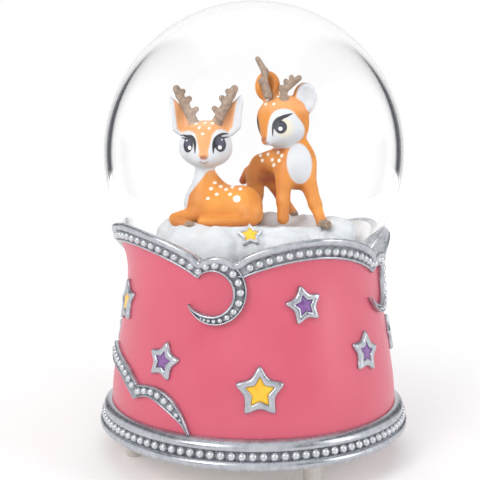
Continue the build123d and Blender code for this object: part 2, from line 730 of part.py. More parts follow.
def cylinder_brackets():
    near = block((13.4, 14.6), (-4.0, 4.0), (BEDPLATE_TOP_Z, 31.0))
    far = block((37.0, 38.4), (-4.0, 14.0), (BEDPLATE_TOP_Z, 31.0))
    bore = rod((12.0, 0, CYLINDER_AXIS_Z), (40.0, 0, CYLINDER_AXIS_Z), 0.8 + RUNNING)
    far_end = (40.0, GOVERNOR_Y, CYLINDER_AXIS_Z)
    small = rod((36.0, GOVERNOR_Y, CYLINDER_AXIS_Z), far_end, 0.6 + RUNNING)
    return [near - bore, far - bore - small]


def comb():
    thickness = (CYLINDER_AXIS_Z - 0.4, CYLINDER_AXIS_Z + 0.4)
    plate = block((15.9, 33.5), (-18.0, -10.5), thickness)
    for note in range(NOTES):
        x = FIRST_NOTE_X + note * NOTE_PITCH
        plate += block((x - 0.3, x + 0.3), (-11.0, -5.1), thickness)
    for x in (20.5, 29.0):
        plate -= Pos(x, -15.2, CYLINDER_AXIS_Z) * Cylinder(1.1, 4.0)
    return plate


def comb_block():
    support = block((15.9, 33.5), (-18.0, -12.5), (BEDPLATE_TOP_Z, CYLINDER_AXIS_Z - 0.4))
    for x in (20.5, 29.0):
        support -= Pos(x, -15.2, CYLINDER_AXIS_Z) * Cylinder(0.95, 16.0)
    return support


def comb_screws():
    shapes = []
    for x in (20.5, 29.0):
        head = ring(1.9, 0, CYLINDER_AXIS_Z + 0.4, CYLINDER_AXIS_Z + 1.6)
        head -= Pos(0, 0, CYLINDER_AXIS_Z + 1.6) * Box(4.0, 0.5, 0.9)
        shank = ring(0.9, 0, CYLINDER_AXIS_Z - 6.0, CYLINDER_AXIS_Z + 0.4)
        shapes.append(Pos(x, -15.2, 0) * (head + shank))
    return shapes


def governor_bracket():
    hole_start = (28.0, GOVERNOR_Y, CYLINDER_AXIS_Z)
    arbor_hole = rod(hole_start, (30.0, GOVERNOR_Y, CYLINDER_AXIS_Z), 0.6 + RUNNING)
    body = block((28.4, 33.0), (9.2, 21.0), (BEDPLATE_TOP_Z, 14.4))
    body += block((28.4, 29.4), (9.2, 13.4), (13.5, 30.4))
    body += block((29.8, 32.6), (19.6, 21.0), (13.5, 34.0))
    for z in ((21.0, 22.0), (33.0, 34.0)):
        body += block((29.8, 32.6), (15.6, 20.0), z)
    body -= Pos(WORM_X, WORM_Y, 28.0) * Cylinder(0.6 + RUNNING, 14.0)
    return body - arbor_hole


def governor_worm():
    pitch = pi * WORM_MODULE
    turns = 3
    # A tooth of the wheel lies on the worm's -Y side at the axis height. With an odd number of
    # turns, half of them below that height, the thread passes half a pitch above and below it.
    start_z = CYLINDER_AXIS_Z - turns * pitch / 2
    shaft = ring(0.6, 0, 20.6, 38.4) + ring(WORM_RADIUS - WORM_MODULE * DEDENDUM, 0, 23.2, 31.6)
    thread = helical_thread(WORM_RADIUS, pitch, turns, -90.0, start_z)
    return Pos(WORM_X, WORM_Y, 0) * (shaft + thread)


def governor_fly():
    blades = block((-4.4, 4.4), (-0.25, 0.25), (35.0, 38.0)) + ring(1.3, 0, 35.0, 38.0)
    return Pos(WORM_X, WORM_Y, 0) * (blades - ring(0.6, 0, 34.0, 39.0))


# ---------------------------------------------------------------- write one file per piece
def write(name, shape):
    """Write a piece, or a group of equal pieces, to its own file."""
    shapes = shape if isinstance(shape, list) else [shape]
    solids = []
    for item in shapes:
        solids.extend(item.solids())
    export_step(Compound(solids) if len(solids) > 1 else solids[0], "parts/" + name + ".step")


PIECES = {
    "base_shell": base_shell(),
    "upper_trim": upper_trim(),
    "lower_trim": lower_trim(),
    "crescent_moons": crescent_moons(),
    "star_frames": star_frames(),
    "star_inlays_purple": star_inlays(PURPLE_STARS, PURPLE_SHARE),
    "star_inlays_yellow": star_inlays(YELLOW_STARS, YELLOW_SHARE),
    "ribbons": ribbons(),
    "bottom_cover": bottom_cover(),
    "feet": feet(),
    "cover_screws": cover_screws(),
    "bedplate_screws": bedplate_screws(),
    "glass_globe": glass_globe(),
    "rubber_stopper": rubber_stopper(),
    "neck_gasket": neck_gasket(),
    "cloud_plinth": cloud_plinth(),
    "cloud_star_frame": cloud_star_frame(),
    "cloud_star_inlay": cloud_star_inlay(),
    "lying_fawn": lying_fawn(),
    "standing_fawn": standing_fawn(),
    "snow_flakes": snow_flakes(),
    "movement_bedplate": movement_bedplate(),
    "winding_key": winding_key(),
    "winding_arbor": winding_arbor(),
    "spring_barrel": spring_barrel(),
    "barrel_cover": barrel_cover(),
    "mainspring": mainspring(),
    "barrel_bridge": barrel_bridge(),
    "music_cylinder": music_cylinder(),
    "cylinder_arbor": cylinder_arbor(),
    "cylinder_pinion": cylinder_pinion(),
    "cylinder_wheel": cylinder_wheel(),
    "governor_pinion": governor_pinion(),
    "governor_wheel": governor_wheel(),
    "governor_arbor": governor_arbor(),
    "cylinder_brackets": cylinder_brackets(),
    "comb": comb(),
    "comb_block": comb_block(),
    "comb_screws": comb_screws(),
    "governor_bracket": governor_bracket(),
    "governor_worm": governor_worm(),
    "governor_fly": governor_fly(),
}

for piece_name, piece_shape in PIECES.items():
    write(piece_name, piece_shape)
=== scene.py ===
import math

import bmesh
import bpy
import numpy as np
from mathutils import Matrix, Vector
from mathutils.bvhtree import BVHTree


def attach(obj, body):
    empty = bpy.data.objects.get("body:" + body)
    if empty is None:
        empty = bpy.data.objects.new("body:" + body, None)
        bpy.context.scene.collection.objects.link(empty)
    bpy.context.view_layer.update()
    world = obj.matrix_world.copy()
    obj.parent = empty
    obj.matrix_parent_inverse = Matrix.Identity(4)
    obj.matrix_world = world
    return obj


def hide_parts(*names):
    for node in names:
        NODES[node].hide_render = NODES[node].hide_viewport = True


# The looks of a musical snow globe with two fawns on a cloud. The shapes are worked out in
# millimetres and turned into metres when a mesh is made. Bearings are degrees round the base
# from the front (-Y) towards +X.
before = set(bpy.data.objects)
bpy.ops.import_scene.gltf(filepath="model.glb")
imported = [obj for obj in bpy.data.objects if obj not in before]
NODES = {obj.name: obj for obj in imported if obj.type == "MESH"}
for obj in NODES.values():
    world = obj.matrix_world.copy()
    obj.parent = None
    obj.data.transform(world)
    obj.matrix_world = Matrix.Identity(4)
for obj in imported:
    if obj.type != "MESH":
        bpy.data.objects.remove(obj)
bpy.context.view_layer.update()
MM = 0.001

GLOBE_RADIUS = 50.0
GLOBE_CENTRE_Z = 97.5
GLASS_WALL = 2.2
NECK_RADIUS = 27.0
NECK_BOTTOM_Z = 49.0
NECK_HOLE_RADIUS = 29.0
ROOF_Z = 51.5
SKIRT_RADIUS = 48.0
SKIRT_BOTTOM_Z = 9.4
SKIRT_TOP_Z = 16.8

FIRST_TIP = -22.4
SHORT_SWAG = 79.1
TALL_SWAG = 100.9
SHORT_RISE = 4.95
TALL_RISE = 8.8
TIP_Z = 60.5
BAND_HEIGHT = 6.1
RIM_DROP = 0.9
MOON_RADIUS = 9.5
MOON_Z = 57.0
MOON_OFFSET = 9.1
MOON_SPAN = 19.4
JOIN_LEFT = 2.2
JOIN_RIGHT = 16.2
WRAP_RADIUS = 44.6
MM_PER_DEGREE = math.radians(WRAP_RADIUS)


# ---------------------------------------------------------------- mesh helpers
def add_piece(name, points, faces, slot, material, replaces=()):
    """A mesh piece of the base body from points in millimetres."""
    mesh = bpy.data.meshes.new(name)
    corners = faces.tolist() if isinstance(faces, np.ndarray) else faces
    mesh.from_pydata((np.asarray(points, float) * MM).tolist(), [], corners)
    solid = bmesh.new()
    solid.from_mesh(mesh)
    bmesh.ops.recalc_face_normals(solid, faces=solid.faces)
    solid.to_mesh(mesh)
    solid.free()
    mesh.polygons.foreach_set("use_smooth", [True] * len(mesh.polygons))
    mesh.materials.append(material)
    piece = bpy.data.objects.new(name, mesh)
    bpy.context.scene.collection.objects.link(piece)
    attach(piece, "base")
    if replaces:
        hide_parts(*replaces)
    return piece


def grid_faces(rows, columns, close_rows=True, close_columns=True):
    """Quads of a grid of points, numbered row by row."""
    row = np.arange(rows if close_rows else rows - 1)[:, None]
    column = np.arange(columns if close_columns else columns - 1)[None, :]
    next_row = (row + 1) % rows
    next_column = (column + 1) % columns
    corners = [row * columns + column, next_row * columns + column]
    corners += [next_row * columns + next_column, row * columns + next_column]
    return np.stack([c.ravel() for c in np.broadcast_arrays(*corners)], -1)


def join(parts):
    """Many (points, faces) as one, with the faces numbered on from part to part."""
    points, faces, start = [], [], 0
    for some, corners in parts:
        points.append(some.reshape(-1, 3))
        faces += [[int(n) + start for n in face] for face in corners]
        start += len(points[-1])
    return np.vstack(points), faces


def lathe(profile, count):
    """Points and faces of a closed outline of (radius, z) turned about Z."""
    outline = np.asarray(profile, float)
    turn = np.linspace(0, 2 * np.pi, count, endpoint=False)
    x = np.sin(turn)[:, None] * outline[None, :, 0]
    y = -np.cos(turn)[:, None] * outline[None, :, 0]
    z = np.broadcast_to(outline[None, :, 1], x.shape)
    return np.stack([x, y, z], -1).reshape(-1, 3), grid_faces(count, len(outline))


def close_poles(piece):
    """Join the points of a turned piece that meet on its axis."""
    solid = bmesh.new()
    solid.from_mesh(piece.data)
    bmesh.ops.remove_doubles(solid, verts=solid.verts, dist=1e-7)
    loose = [edge for edge in solid.edges if not edge.link_faces]
    bmesh.ops.delete(solid, geom=loose, context="EDGES")
    bmesh.ops.recalc_face_normals(solid, faces=solid.faces)
    solid.to_mesh(piece.data)
    solid.free()


def smooth_line(points, count):
    """Evenly spread points on a curve through the given points (Catmull-Rom)."""
    p = np.asarray(points, float)
    p = np.vstack([2 * p[0] - p[1], p, 2 * p[-1] - p[-2]])
    made = []
    for a, b, c, d in zip(p[:-3], p[1:-2], p[2:-1], p[3:]):
        t = np.linspace(0, 1, 24, endpoint=False)[:, None]
        step = 2 * b + (c - a) * t + (2 * a - 5 * b + 4 * c - d) * t**2
        made.append((step + (3 * b - a - 3 * c + d) * t**3) / 2)
    line = np.vstack(made + [p[-2:-1]])
    length = np.concatenate([[0], np.cumsum(np.linalg.norm(np.diff(line, axis=0), axis=1))])
    place = np.linspace(0, length[-1], count)
    return np.stack([np.interp(place, length, line[:, n]) for n in range(line.shape[1])], -1)


def bead_points(centres, radii):
    """Small balls, all in one mesh: their points and faces."""
    ball = bmesh.new()
    bmesh.ops.create_icosphere(ball, subdivisions=3, radius=1.0)
    template = np.array([v.co for v in ball.verts])
    triangles = np.array([[v.index for v in f.verts] for f in ball.faces])
    ball.free()
    centres = np.asarray(centres, float)
    points = centres[:, None, :] + template[None] * np.asarray(radii, float)[:, None, None]
    steps = np.arange(len(centres))[:, None, None] * len(template)
    return points.reshape(-1, 3), (triangles[None] + steps).reshape(-1, 3)


# ---------------------------------------------------------------- the base's side and its rim
def read_side():
    """A smooth formula for the radius of the base's side, read from the frame's base shell."""
    shell = NODES["base_shell"].data
    triangles = [list(p.vertices) for p in shell.polygons]
    tree = BVHTree.FromPolygons([v.co for v in shell.vertices], triangles)
    bearing = math.radians(FIRST_TIP + SHORT_SWAG + (MOON_SPAN + TALL_SWAG) / 2)
    outward = Vector((math.sin(bearing), -math.cos(bearing), 0))
    heights = np.arange(SKIRT_TOP_Z + 0.3, 72.0, 1.0)
    radii = []
    for z in heights:
        start = outward * 0.07 + Vector((0, 0, z * MM))
        hit = tree.ray_cast(start, -outward)[0]
        radii.append(math.hypot(hit.x, hit.y) / MM)
    return np.polynomial.Polynomial.fit(heights, radii, 7)


SIDE = read_side()
LAST_FITTED_Z = 71.5
FLARE_ABOVE = 0.2


def side_radius(z):
    z = np.asarray(z, float)
    inside = np.clip(z, SKIRT_TOP_Z, LAST_FITTED_Z)
    return SIDE(inside) + FLARE_ABOVE * np.maximum(z - LAST_FITTED_Z, 0)


def seat_radius(z):
    """Radius at which the ball meets the rim."""
    return np.sqrt(GLOBE_RADIUS**2 - (GLOBE_CENTRE_Z - np.asarray(z, float)) ** 2)


def around(radius, bearing, z):
    """Points at a radius, a bearing and a height."""
    turn = np.radians(bearing)
    radius, turn, z = np.broadcast_arrays(radius, turn, z)
    return np.stack([radius * np.sin(turn), -radius * np.cos(turn), z], -1)


def on_side(bearing, z, out):
    """Points a distance out from the base's side."""
    return around(side_radius(z) + out, bearing, z)


def swags():
    """Bearing of the tip, bearing of the next tip and rise of each of the four swags."""
    found = []
    tip = FIRST_TIP
    for width, rise in [(SHORT_SWAG, SHORT_RISE), (TALL_SWAG, TALL_RISE)] * 2:
        found.append((tip, tip + width, rise))
        tip += width
    return found


def swag_low(bearing, cusp, next_tip, rise):
    """Height of a swag's lower edge."""
    middle = (cusp + next_tip) / 2
    half = (next_tip - cusp) / 2
    share = np.maximum(0, np.cos(np.pi / 2 * np.clip((bearing - middle) / half, -1, 1)))
    return TIP_Z + rise * share**0.85


def moon_top(bearing, tip):
    along = (bearing - tip - MOON_OFFSET) * MM_PER_DEGREE
    return MOON_Z + np.sqrt(MOON_RADIUS**2 - along**2)


def rim_line(count):
    """Bearing and height of the scalloped rim, all the way round."""
    known_b, known_z = [], []
    for tip, next_tip, rise in swags():
        cusp = tip + MOON_SPAN
        moon = np.linspace(tip + JOIN_LEFT, tip + JOIN_RIGHT, 40)
        inner = np.linspace(cusp, next_tip, 120)
        known_b += [moon, inner]
        known_z += [moon_top(moon, tip), swag_low(inner, cusp, next_tip, rise) + BAND_HEIGHT]
    bearings = FIRST_TIP + 1.0 + np.arange(count) * 360 / count
    z = np.interp(bearings, np.concatenate(known_b), np.concatenate(known_z), period=360)
    for _ in range(3):
        z = (np.roll(z, 1) + 2 * z + np.roll(z, -1)) / 4
    return bearings, z


RIM_STEPS = 1080
RIM_B, RIM_TOP = rim_line(RIM_STEPS)


# ---------------------------------------------------------------- materials
def new_material(name):
    material = bpy.data.materials.new(name)
    material.use_nodes = True
    tree = material.node_tree
    return material, tree, tree.nodes["Principled BSDF"]


def feed(tree, node, inputs):
    """Set a node's inputs: a socket is linked, anything else is a value."""
    for key, value in inputs.items():
        if isinstance(value, bpy.types.NodeSocket):
            tree.links.new(value, node.inputs[key])
        else:
            node.inputs[key].default_value = value


def add_node(tree, kind, inputs=None, **settings):
    node = tree.nodes.new("ShaderNode" + kind)
    for key, value in settings.items():
        setattr(node, key, value)
    feed(tree, node, inputs or {})
    return node


def noise_node(tree, scale, detail=4.0):
    """Fine noise that stays fixed to the object."""
    place = add_node(tree, "TexCoord").outputs["Object"]
    noise = add_node(tree, "TexNoise", {"Scale": scale, "Detail": detail, "Vector": place})
    return noise.outputs["Fac"]


def ramp_node(tree, source, stops):
    """A colour ramp on a value, from a list of (place, colour)."""
    ramp = add_node(tree, "ValToRGB", {"Fac": source})
    elements = ramp.color_ramp.elements
    elements[0].position, elements[1].position = stops[0][0], stops[-1][0]
    elements[0].color, elements[1].color = (*stops[0][1], 1), (*stops[-1][1], 1)
    for place, colour in stops[1:-1]:
        elements.new(place).color = (*colour, 1)
    return ramp.outputs["Color"]


def range_node(tree, source, low, high, from_low=0.3, from_high=0.7):
    """The source's from_low to from_high turned into low to high."""
    ends = {"From Min": from_low, "From Max": from_high, "To Min": low, "To Max": high}
    return add_node(tree, "MapRange", {"Value": source, **ends}).outputs["Result"]


def bump_node(tree, shader, source, strength, distance):
    inputs = {"Strength": strength, "Distance": distance, "Height": source}
    feed(tree, shader, {"Normal": add_node(tree, "Bump", inputs).outputs["Normal"]})


def finish(name, dark, light, roughness, metallic=0.0, scale=260.0, bump=0.15, coat=0.0,
           depth=0.00006):
    """A painted, moulded or metal finish: two close tones in fine noise, uneven gloss and grain."""
    material, tree, shader = new_material(name)
    noise = noise_node(tree, scale)
    feed(tree, shader, {
        "Base Color": ramp_node(tree, noise, [(0.3, dark), (0.7, light)]),
        "Roughness": range_node(tree, noise, roughness * 0.85, roughness * 1.15),
        "Metallic": metallic, "Coat Weight": coat, "Coat Roughness": 0.25,
    })
    bump_node(tree, shader, noise, bump, depth)
    return material


def mix_node(tree, factor, under, over):
    """under where factor is 0, over where it is 1."""
    sides = {key: (*colour, 1) if isinstance(colour, tuple) else colour
             for key, colour in (("A", under), ("B", over))}
    return add_node(tree, "Mix", {"Factor": factor, **sides}, data_type="RGBA").outputs["Result"]


def mask_node(tree, attribute, softness):
    """1 where an attribute, a distance in millimetres to a painted area, is below zero."""
    source = add_node(tree, "Attribute", attribute_name=attribute).outputs["Fac"]
    inputs = {"Value": source, "From Min": softness, "From Max": -softness}
    return add_node(tree, "MapRange", inputs, interpolation_type="SMOOTHSTEP").outputs["Result"]


def shader_mix(tree, factor, first, second):
    """The material's surface: the first shader where factor is 0, the second where it is 1."""
    inputs = {"Fac": factor, 1: first.outputs["BSDF"], 2: second.outputs["BSDF"]}
    mix = add_node(tree, "MixShader", inputs)
    feed(tree, tree.nodes["Material Output"], {"Surface": mix.outputs["Shader"]})


ORANGE_DARK = (0.51, 0.155, 0.012)
ORANGE_LIGHT = (0.71, 0.275, 0.036)
FACE_ORANGE = (0.70, 0.33, 0.135)
# painted shade: the darker brown laid where shade falls on the fawns
PAINTED_SHADE_BROWN = (0.46, 0.10, 0.008)
COAT_WHITE = (0.57, 0.59, 0.62)
EYE_CREAM = (0.66, 0.62, 0.49)
NOSE_BROWN = (0.36, 0.13, 0.055)
SPOT_WHITE = (0.85, 0.80, 0.72)
ANTLER_DARK = (0.20, 0.135, 0.095)
ANTLER_LIGHT = (0.36, 0.26, 0.195)
EYE_BLACK = (0.012, 0.012, 0.020)
IRIS_GREY = (0.050, 0.050, 0.085)
WHITE = (1.0, 1.0, 1.0)


def fawn_paint():
    """Hand-painted resin: the painted areas come from distances kept on the mesh."""
    material, tree, shader = new_material("fawn_resin")
    broad = noise_node(tree, 110.0, 3.0)
    fine = noise_node(tree, 900.0, 3.0)
    colour = ramp_node(tree, broad, [(0.3, ORANGE_DARK), (0.65, ORANGE_LIGHT)])
    antler = ramp_node(tree, fine, [(0.35, ANTLER_DARK), (0.65, ANTLER_LIGHT)])
    # attribute, half width of its soft edge in millimetres and colour, from the lowest coat up
    coats = [
        # one coat is painted shade: a darker brown where a fawn meets the cloud and under its neck,
        # belly and head
        ("face", 2.5, FACE_ORANGE), ("painted_shade", 1.6, PAINTED_SHADE_BROWN), ("white", 0.30, COAT_WHITE),
        ("cream", 1.2, EYE_CREAM), ("nose", 0.25, NOSE_BROWN), ("brown", 0.30, antler),
        ("spots", 0.14, SPOT_WHITE), ("black", 0.10, EYE_BLACK), ("iris", 0.12, IRIS_GREY),
        ("shine", 0.10, WHITE),
    ]
    for attribute, softness, coat in coats:
        colour = mix_node(tree, mask_node(tree, attribute, softness), colour, coat)
    feed(tree, shader, {"Base Color": colour, "Roughness": range_node(tree, fine, 0.42, 0.58)})
    bump_node(tree, shader, fine, 0.12, 0.00008)
    return material


def clear_glass():
    """Clear glass that lets lamp light through to what is inside."""
    material, tree, shader = new_material("clear_glass")
    feed(tree, shader, {
        "Base Color": (1, 1, 1, 1), "Transmission Weight": 1.0, "IOR": 1.2,
        "Roughness": range_node(tree, noise_node(tree, 12.0, 1.0), 0.0, 0.012),
    })
    shadow = add_node(tree, "LightPath").outputs["Is Shadow Ray"]
    shader_mix(tree, shadow, shader, add_node(tree, "BsdfTransparent"))
    return material


# name, darker tone, lighter tone and roughness, then metallic where it isn't 0
PINK = finish("pink_resin", (0.640, 0.092, 0.150), (0.665, 0.104, 0.168), 0.40,
              scale=90, bump=0.05, coat=0.25)
SILVER = finish("silver_finish", (0.40, 0.42, 0.46), (0.55, 0.57, 0.61), 0.27, 0.85,
                scale=420, bump=0.25)
# painted shade: a darker silver for the faces at the bottom of the channels
SILVER_PAINTED_SHADE = finish("silver_painted_shade", (0.29, 0.305, 0.33), (0.42, 0.44, 0.47), 0.5, 0.6,
                     scale=700, bump=0.3)
PEARL = finish("silver_beads", (0.54, 0.56, 0.59), (0.68, 0.70, 0.73), 0.26, 0.7,
               scale=600, bump=0.12)
YELLOW = finish("yellow_enamel", (0.90, 0.46, 0.012), (1.0, 0.60, 0.030), 0.34,
                scale=500, bump=0.2, coat=0.4)
PURPLE = finish("purple_enamel", (0.16, 0.060, 0.25), (0.30, 0.125, 0.40), 0.34,
                scale=900, bump=0.3, coat=0.4)
CLOUD = finish("white_resin", (0.58, 0.61, 0.64), (0.68, 0.70, 0.73), 0.6,
               scale=150, bump=0.35, depth=0.0003)
FOOT = finish("white_plastic", (0.56, 0.54, 0.50), (0.64, 0.62, 0.58), 0.38, scale=300, bump=0.08)
RUBBER = finish("black_rubber", (0.014, 0.014, 0.015), (0.030, 0.030, 0.032), 0.7,
                scale=500, bump=0.3)
SNOW = finish("snow", (0.86, 0.87, 0.90), (0.96, 0.96, 0.97), 0.35, scale=800, bump=0.2)
SCREW = finish("screw_steel", (0.36, 0.36, 0.37), (0.50, 0.50, 0.51), 0.34, 1.0,
               scale=800, bump=0.2)
KEY = finish("key_steel", (0.50, 0.50, 0.50), (0.66, 0.66, 0.65), 0.26, 1.0, scale=500)
PLATE = finish("frame_metal", (0.34, 0.35, 0.36), (0.48, 0.49, 0.50), 0.42, 1.0,
               scale=700, bump=0.3)
BRASS = finish("train_brass", (0.52, 0.34, 0.10), (0.68, 0.47, 0.17), 0.30, 1.0, scale=600)
ARBOR = finish("arbor_steel", (0.42, 0.42, 0.43), (0.56, 0.56, 0.57), 0.26, 1.0,
               scale=900, bump=0.1)
SPRING = finish("spring_steel", (0.20, 0.21, 0.24), (0.32, 0.33, 0.37), 0.30, 1.0,
                scale=700, bump=0.1)
FLY = finish("fly_plastic", (0.66, 0.64, 0.58), (0.76, 0.74, 0.68), 0.45, scale=500, bump=0.1)
GLASS = clear_glass()
FAWN = fawn_paint()

CARRIED = {
    "bottom_cover": FOOT, "cover_screws": SCREW, "bedplate_screws": SCREW, "comb_screws": SCREW,
    "rubber_stopper": RUBBER, "neck_gasket": RUBBER, "snow_flakes": SNOW,
    "movement_bedplate": PLATE, "barrel_bridge": PLATE, "cylinder_brackets": PLATE,
    "comb_block": PLATE, "governor_bracket": PLATE, "winding_key": KEY, "winding_arbor": KEY,
    "spring_barrel": BRASS, "barrel_cover": BRASS, "music_cylinder": BRASS,
    "cylinder_pinion": BRASS, "cylinder_wheel": BRASS, "governor_pinion": BRASS,
    "governor_wheel": BRASS, "governor_worm": BRASS, "cylinder_arbor": ARBOR,
    "governor_arbor": ARBOR, "mainspring": SPRING, "comb": SPRING, "governor_fly": FLY,
}


def paint_carried_nodes():
    for name, material in CARRIED.items():
        mesh = NODES[name].data
        mesh.materials.clear()
        mesh.materials.append(material)


# ---------------------------------------------------------------- base body and trims
CAVITY_PROFILE = [(NECK_HOLE_RADIUS, ROOF_Z), (39.6, ROOF_Z), (42.2, 38.0), (44.3, 25.0),
                  (45.0, SKIRT_TOP_Z), (45.0, SKIRT_BOTTOM_Z)]
SEAT_GAP = 0.1
LIP_GAP = 0.12
LIP_BACK_DROP = 1.6
# the roll's outline: how far down from the rim and how far out from the side
LIP_DOWN = np.array([2.25, 2.25, 2.1, 1.75, 1.3, 0.8, 0.4, 0.12, 0.0, 0.0])
LIP_OUT = np.array([-0.3, 0.75, 1.15, 1.42, 1.5, 1.42, 1.15, 0.75, 0.3, -0.2])


def base_body():
    """The pink shell: its side up to the scalloped rim, the ball's seat, with snow lying in it,
    and the cavity below."""
    top = (RIM_TOP - RIM_DROP)[:, None]
    bearing = RIM_B[:, None]
    rise = np.linspace(0, 1, 44)[None, :]
    z = SKIRT_TOP_Z + (top - SKIRT_TOP_Z) * rise
    side = on_side(bearing, z, 0.0)
    skirt = around(SKIRT_RADIUS, bearing, np.array([[SKIRT_BOTTOM_Z, SKIRT_TOP_Z - 0.1]]))
    seat_share = np.linspace(1, 0, 10)[None, :]
    low = GLOBE_CENTRE_Z - math.sqrt(GLOBE_RADIUS**2 - NECK_HOLE_RADIUS**2)
    seat_z = low + (top - low) * seat_share
    seat = around(seat_radius(seat_z) + SEAT_GAP, bearing, seat_z)
    cavity_radius, cavity_z = np.array(CAVITY_PROFILE).T[:, None, :]
    cavity = around(cavity_radius, bearing, cavity_z)
    points = np.concatenate([skirt, side, seat, cavity], 1)
    faces = grid_faces(*points.shape[:2])
    piece = add_piece("base_body", points.reshape(-1, 3), faces, "pink_resin", PINK, ["base_shell"])
    piece.data.materials.append(SNOW)
    first_seat = skirt.shape[1] + side.shape[1] - 1
    seat_columns = range(first_seat, first_seat + seat.shape[1])
    for polygon in piece.data.polygons:
        if polygon.index % points.shape[1] in seat_columns:
            polygon.material_index = 1
    piece.data.set_sharp_from_angle(angle=math.radians(45))


def rim_lip():
    """The smooth silver roll along the rim, from the side over the top to the ball."""
    run = MM_PER_DEGREE * 360 / RIM_STEPS
    slope = (np.roll(RIM_TOP, -2) - np.roll(RIM_TOP, 2)) / (4 * run)
    for _ in range(6):
        slope = (np.roll(slope, 1) + 2 * slope + np.roll(slope, -1)) / 4
    length = np.sqrt(1 + slope**2)
    tangent_b, tangent_z = 1 / length, slope / length
    bearing = RIM_B[:, None] + LIP_DOWN[None, :] * tangent_z[:, None] / MM_PER_DEGREE
    z = RIM_TOP[:, None] - LIP_DOWN[None, :] * tangent_b[:, None]
    face = on_side(bearing, z, LIP_OUT[None, :])
    top = RIM_TOP[:, None]
    share = np.array([[0.3, 0.65, 1.0]])
    inner = seat_radius(top) + LIP_GAP
    outer = side_radius(top) - 0.2
    ledge = around(outer + (inner - outer) * share, RIM_B[:, None], top - 0.8 * share)
    back_z = top - LIP_BACK_DROP
    back = around(seat_radius(back_z) + LIP_GAP, RIM_B[:, None], back_z)
    under = around(side_radius(back_z) - 0.3, RIM_B[:, None], back_z)
    points = np.concatenate([face, ledge, back, under], 1)
    add_piece("rim_lip", points.reshape(-1, 3), grid_faces(*points.shape[:2]), "silver_finish",
              SILVER, ["upper_trim"])


LIP_SAMPLES = 7


def lip_profile(start, width, foot, crest):
    """A small round ridge across a strip: places across it and heights."""
    angle = np.linspace(0, np.pi, LIP_SAMPLES)[None, :]
    across = start + width * (1 - np.cos(angle)) / 2
    return across, foot + (crest - foot) * np.sin(angle) ** 0.7


def beaded_strip(low, high, crest, low_lip, high_lip, floor):
    """A raised strip between two edges on the side, a channel between two ridges. The edges
    are (millimetres round the base, height), and the other values are one for each station."""
    width = np.linalg.norm(high - low, axis=1)[:, None]
    crest, low_lip, high_lip, floor = (
        np.reshape(v, (-1, 1)) for v in (crest, low_lip, high_lip, floor))
    low_lip = np.minimum(low_lip, width * 0.48)
    high_lip = np.minimum(high_lip, width * 0.48)
    first, first_out = lip_profile(0.0, low_lip, floor * 0.6, crest)
    second, second_out = lip_profile(width - high_lip, high_lip, floor * 0.6, crest)
    edge = np.full_like(width, -0.3)
    across = np.concatenate([0 * width, first, second, width], 1) / np.maximum(width, 1e-6)
    out = np.concatenate([edge, first_out, second_out, edge], 1)
    place = low[:, None, :] + (high - low)[:, None, :] * across[..., None]
    return on_side(place[..., 0] / MM_PER_DEGREE, place[..., 1], out)


def strip_faces(rows, columns):
    """Quads of a strip with closed sides and a cap at each end."""
    faces = grid_faces(rows, columns, close_rows=False).tolist()
    faces.append(list(range(columns)))
    faces.append([(rows - 1) * columns + n for n in reversed(range(columns))])
    return faces


SMALLEST_BEAD = 0.28
BEAD_SINK = 0.72


def bead_row(low, high, low_lip, high_lip, crest, spacing, most, start):
    """Centres and radii of beads that follow the channel of a strip."""
    width = np.linalg.norm(high - low, axis=1)
    room = width - low_lip - high_lip
    middle = low + (high - low) * ((low_lip + room / 2) / np.maximum(width, 1e-6))[:, None]
    length = np.concatenate([[0], np.cumsum(np.linalg.norm(np.diff(middle, axis=0), axis=1))])
    centres, radii = [], []
    at = start
    while at < length[-1]:
        radius = min(most, 0.5 * float(np.interp(at, length, room)))
        if radius < SMALLEST_BEAD:
            break
        s, z = (float(np.interp(at, length, middle[:, n])) for n in (0, 1))
        out = float(np.interp(at, length, crest)) - BEAD_SINK * radius
        centres.append(on_side(s / MM_PER_DEGREE, z, out))
        radii.append(radius)
        at += spacing * radius
    return centres, radii


def add_bands(name, replaced, bands, bead_rise, spacing, most, start):
    """Beaded strips in one mesh and their beads in another. A band is (low edge, high edge,
    crest, low lip, high lip, channel floor)."""
    strips, dark, centres, radii, first = [], [], [], [], 0
    for low, high, crest, low_lip, high_lip, floor in bands:
        strip = beaded_strip(low, high, crest, low_lip, high_lip, floor)
        rows, columns = strip.shape[:2]
        strips.append((strip, strip_faces(rows, columns)))
        # the faces on the channel's floor take the painted shade
        dark += [first + row * columns + LIP_SAMPLES for row in range(rows - 1)]
        first += len(strips[-1][1])
        made = bead_row(low, high, low_lip, high_lip, crest + bead_rise, spacing, most, start)
        centres += made[0]
        radii += made[1]
    piece = add_piece(name + "_bands", *join(strips), "silver_finish", SILVER, [replaced])
    paint_channel_shade(piece, dark)
    add_piece(name + "_beads", *bead_points(centres, radii), "silver_finish", PEARL)


def paint_channel_shade(piece, numbers):
    """Painted shade: a darker silver on the faces at the bottom of a channel."""
    piece.data.materials.append(SILVER_PAINTED_SHADE)
    for n in numbers:
        piece.data.polygons[n].material_index = 1


def spoke(radius, angle):
    return np.stack([radius * np.cos(angle), radius * np.sin(angle)], -1)


# degrees round the moon's middle, from the swag's tip over the top to the point of the horn
MOON_OUTER_ARC = (127, -153)
MOON_INNER_ARC = (142, -156)
MOON_OUTER_RADIUS = 9.35
MOON_INNER_RADIUS = 6.1
MOON_OUTER_SHIFT = [-0.35, -0.35]
MOON_INNER_SHIFT = [-1.5, -1.0]
HORN_THINNING = 1.95
BAND_OVERLAP = 2.6
LIP_HEIGHT = 1.1
BAND_STATIONS = 90


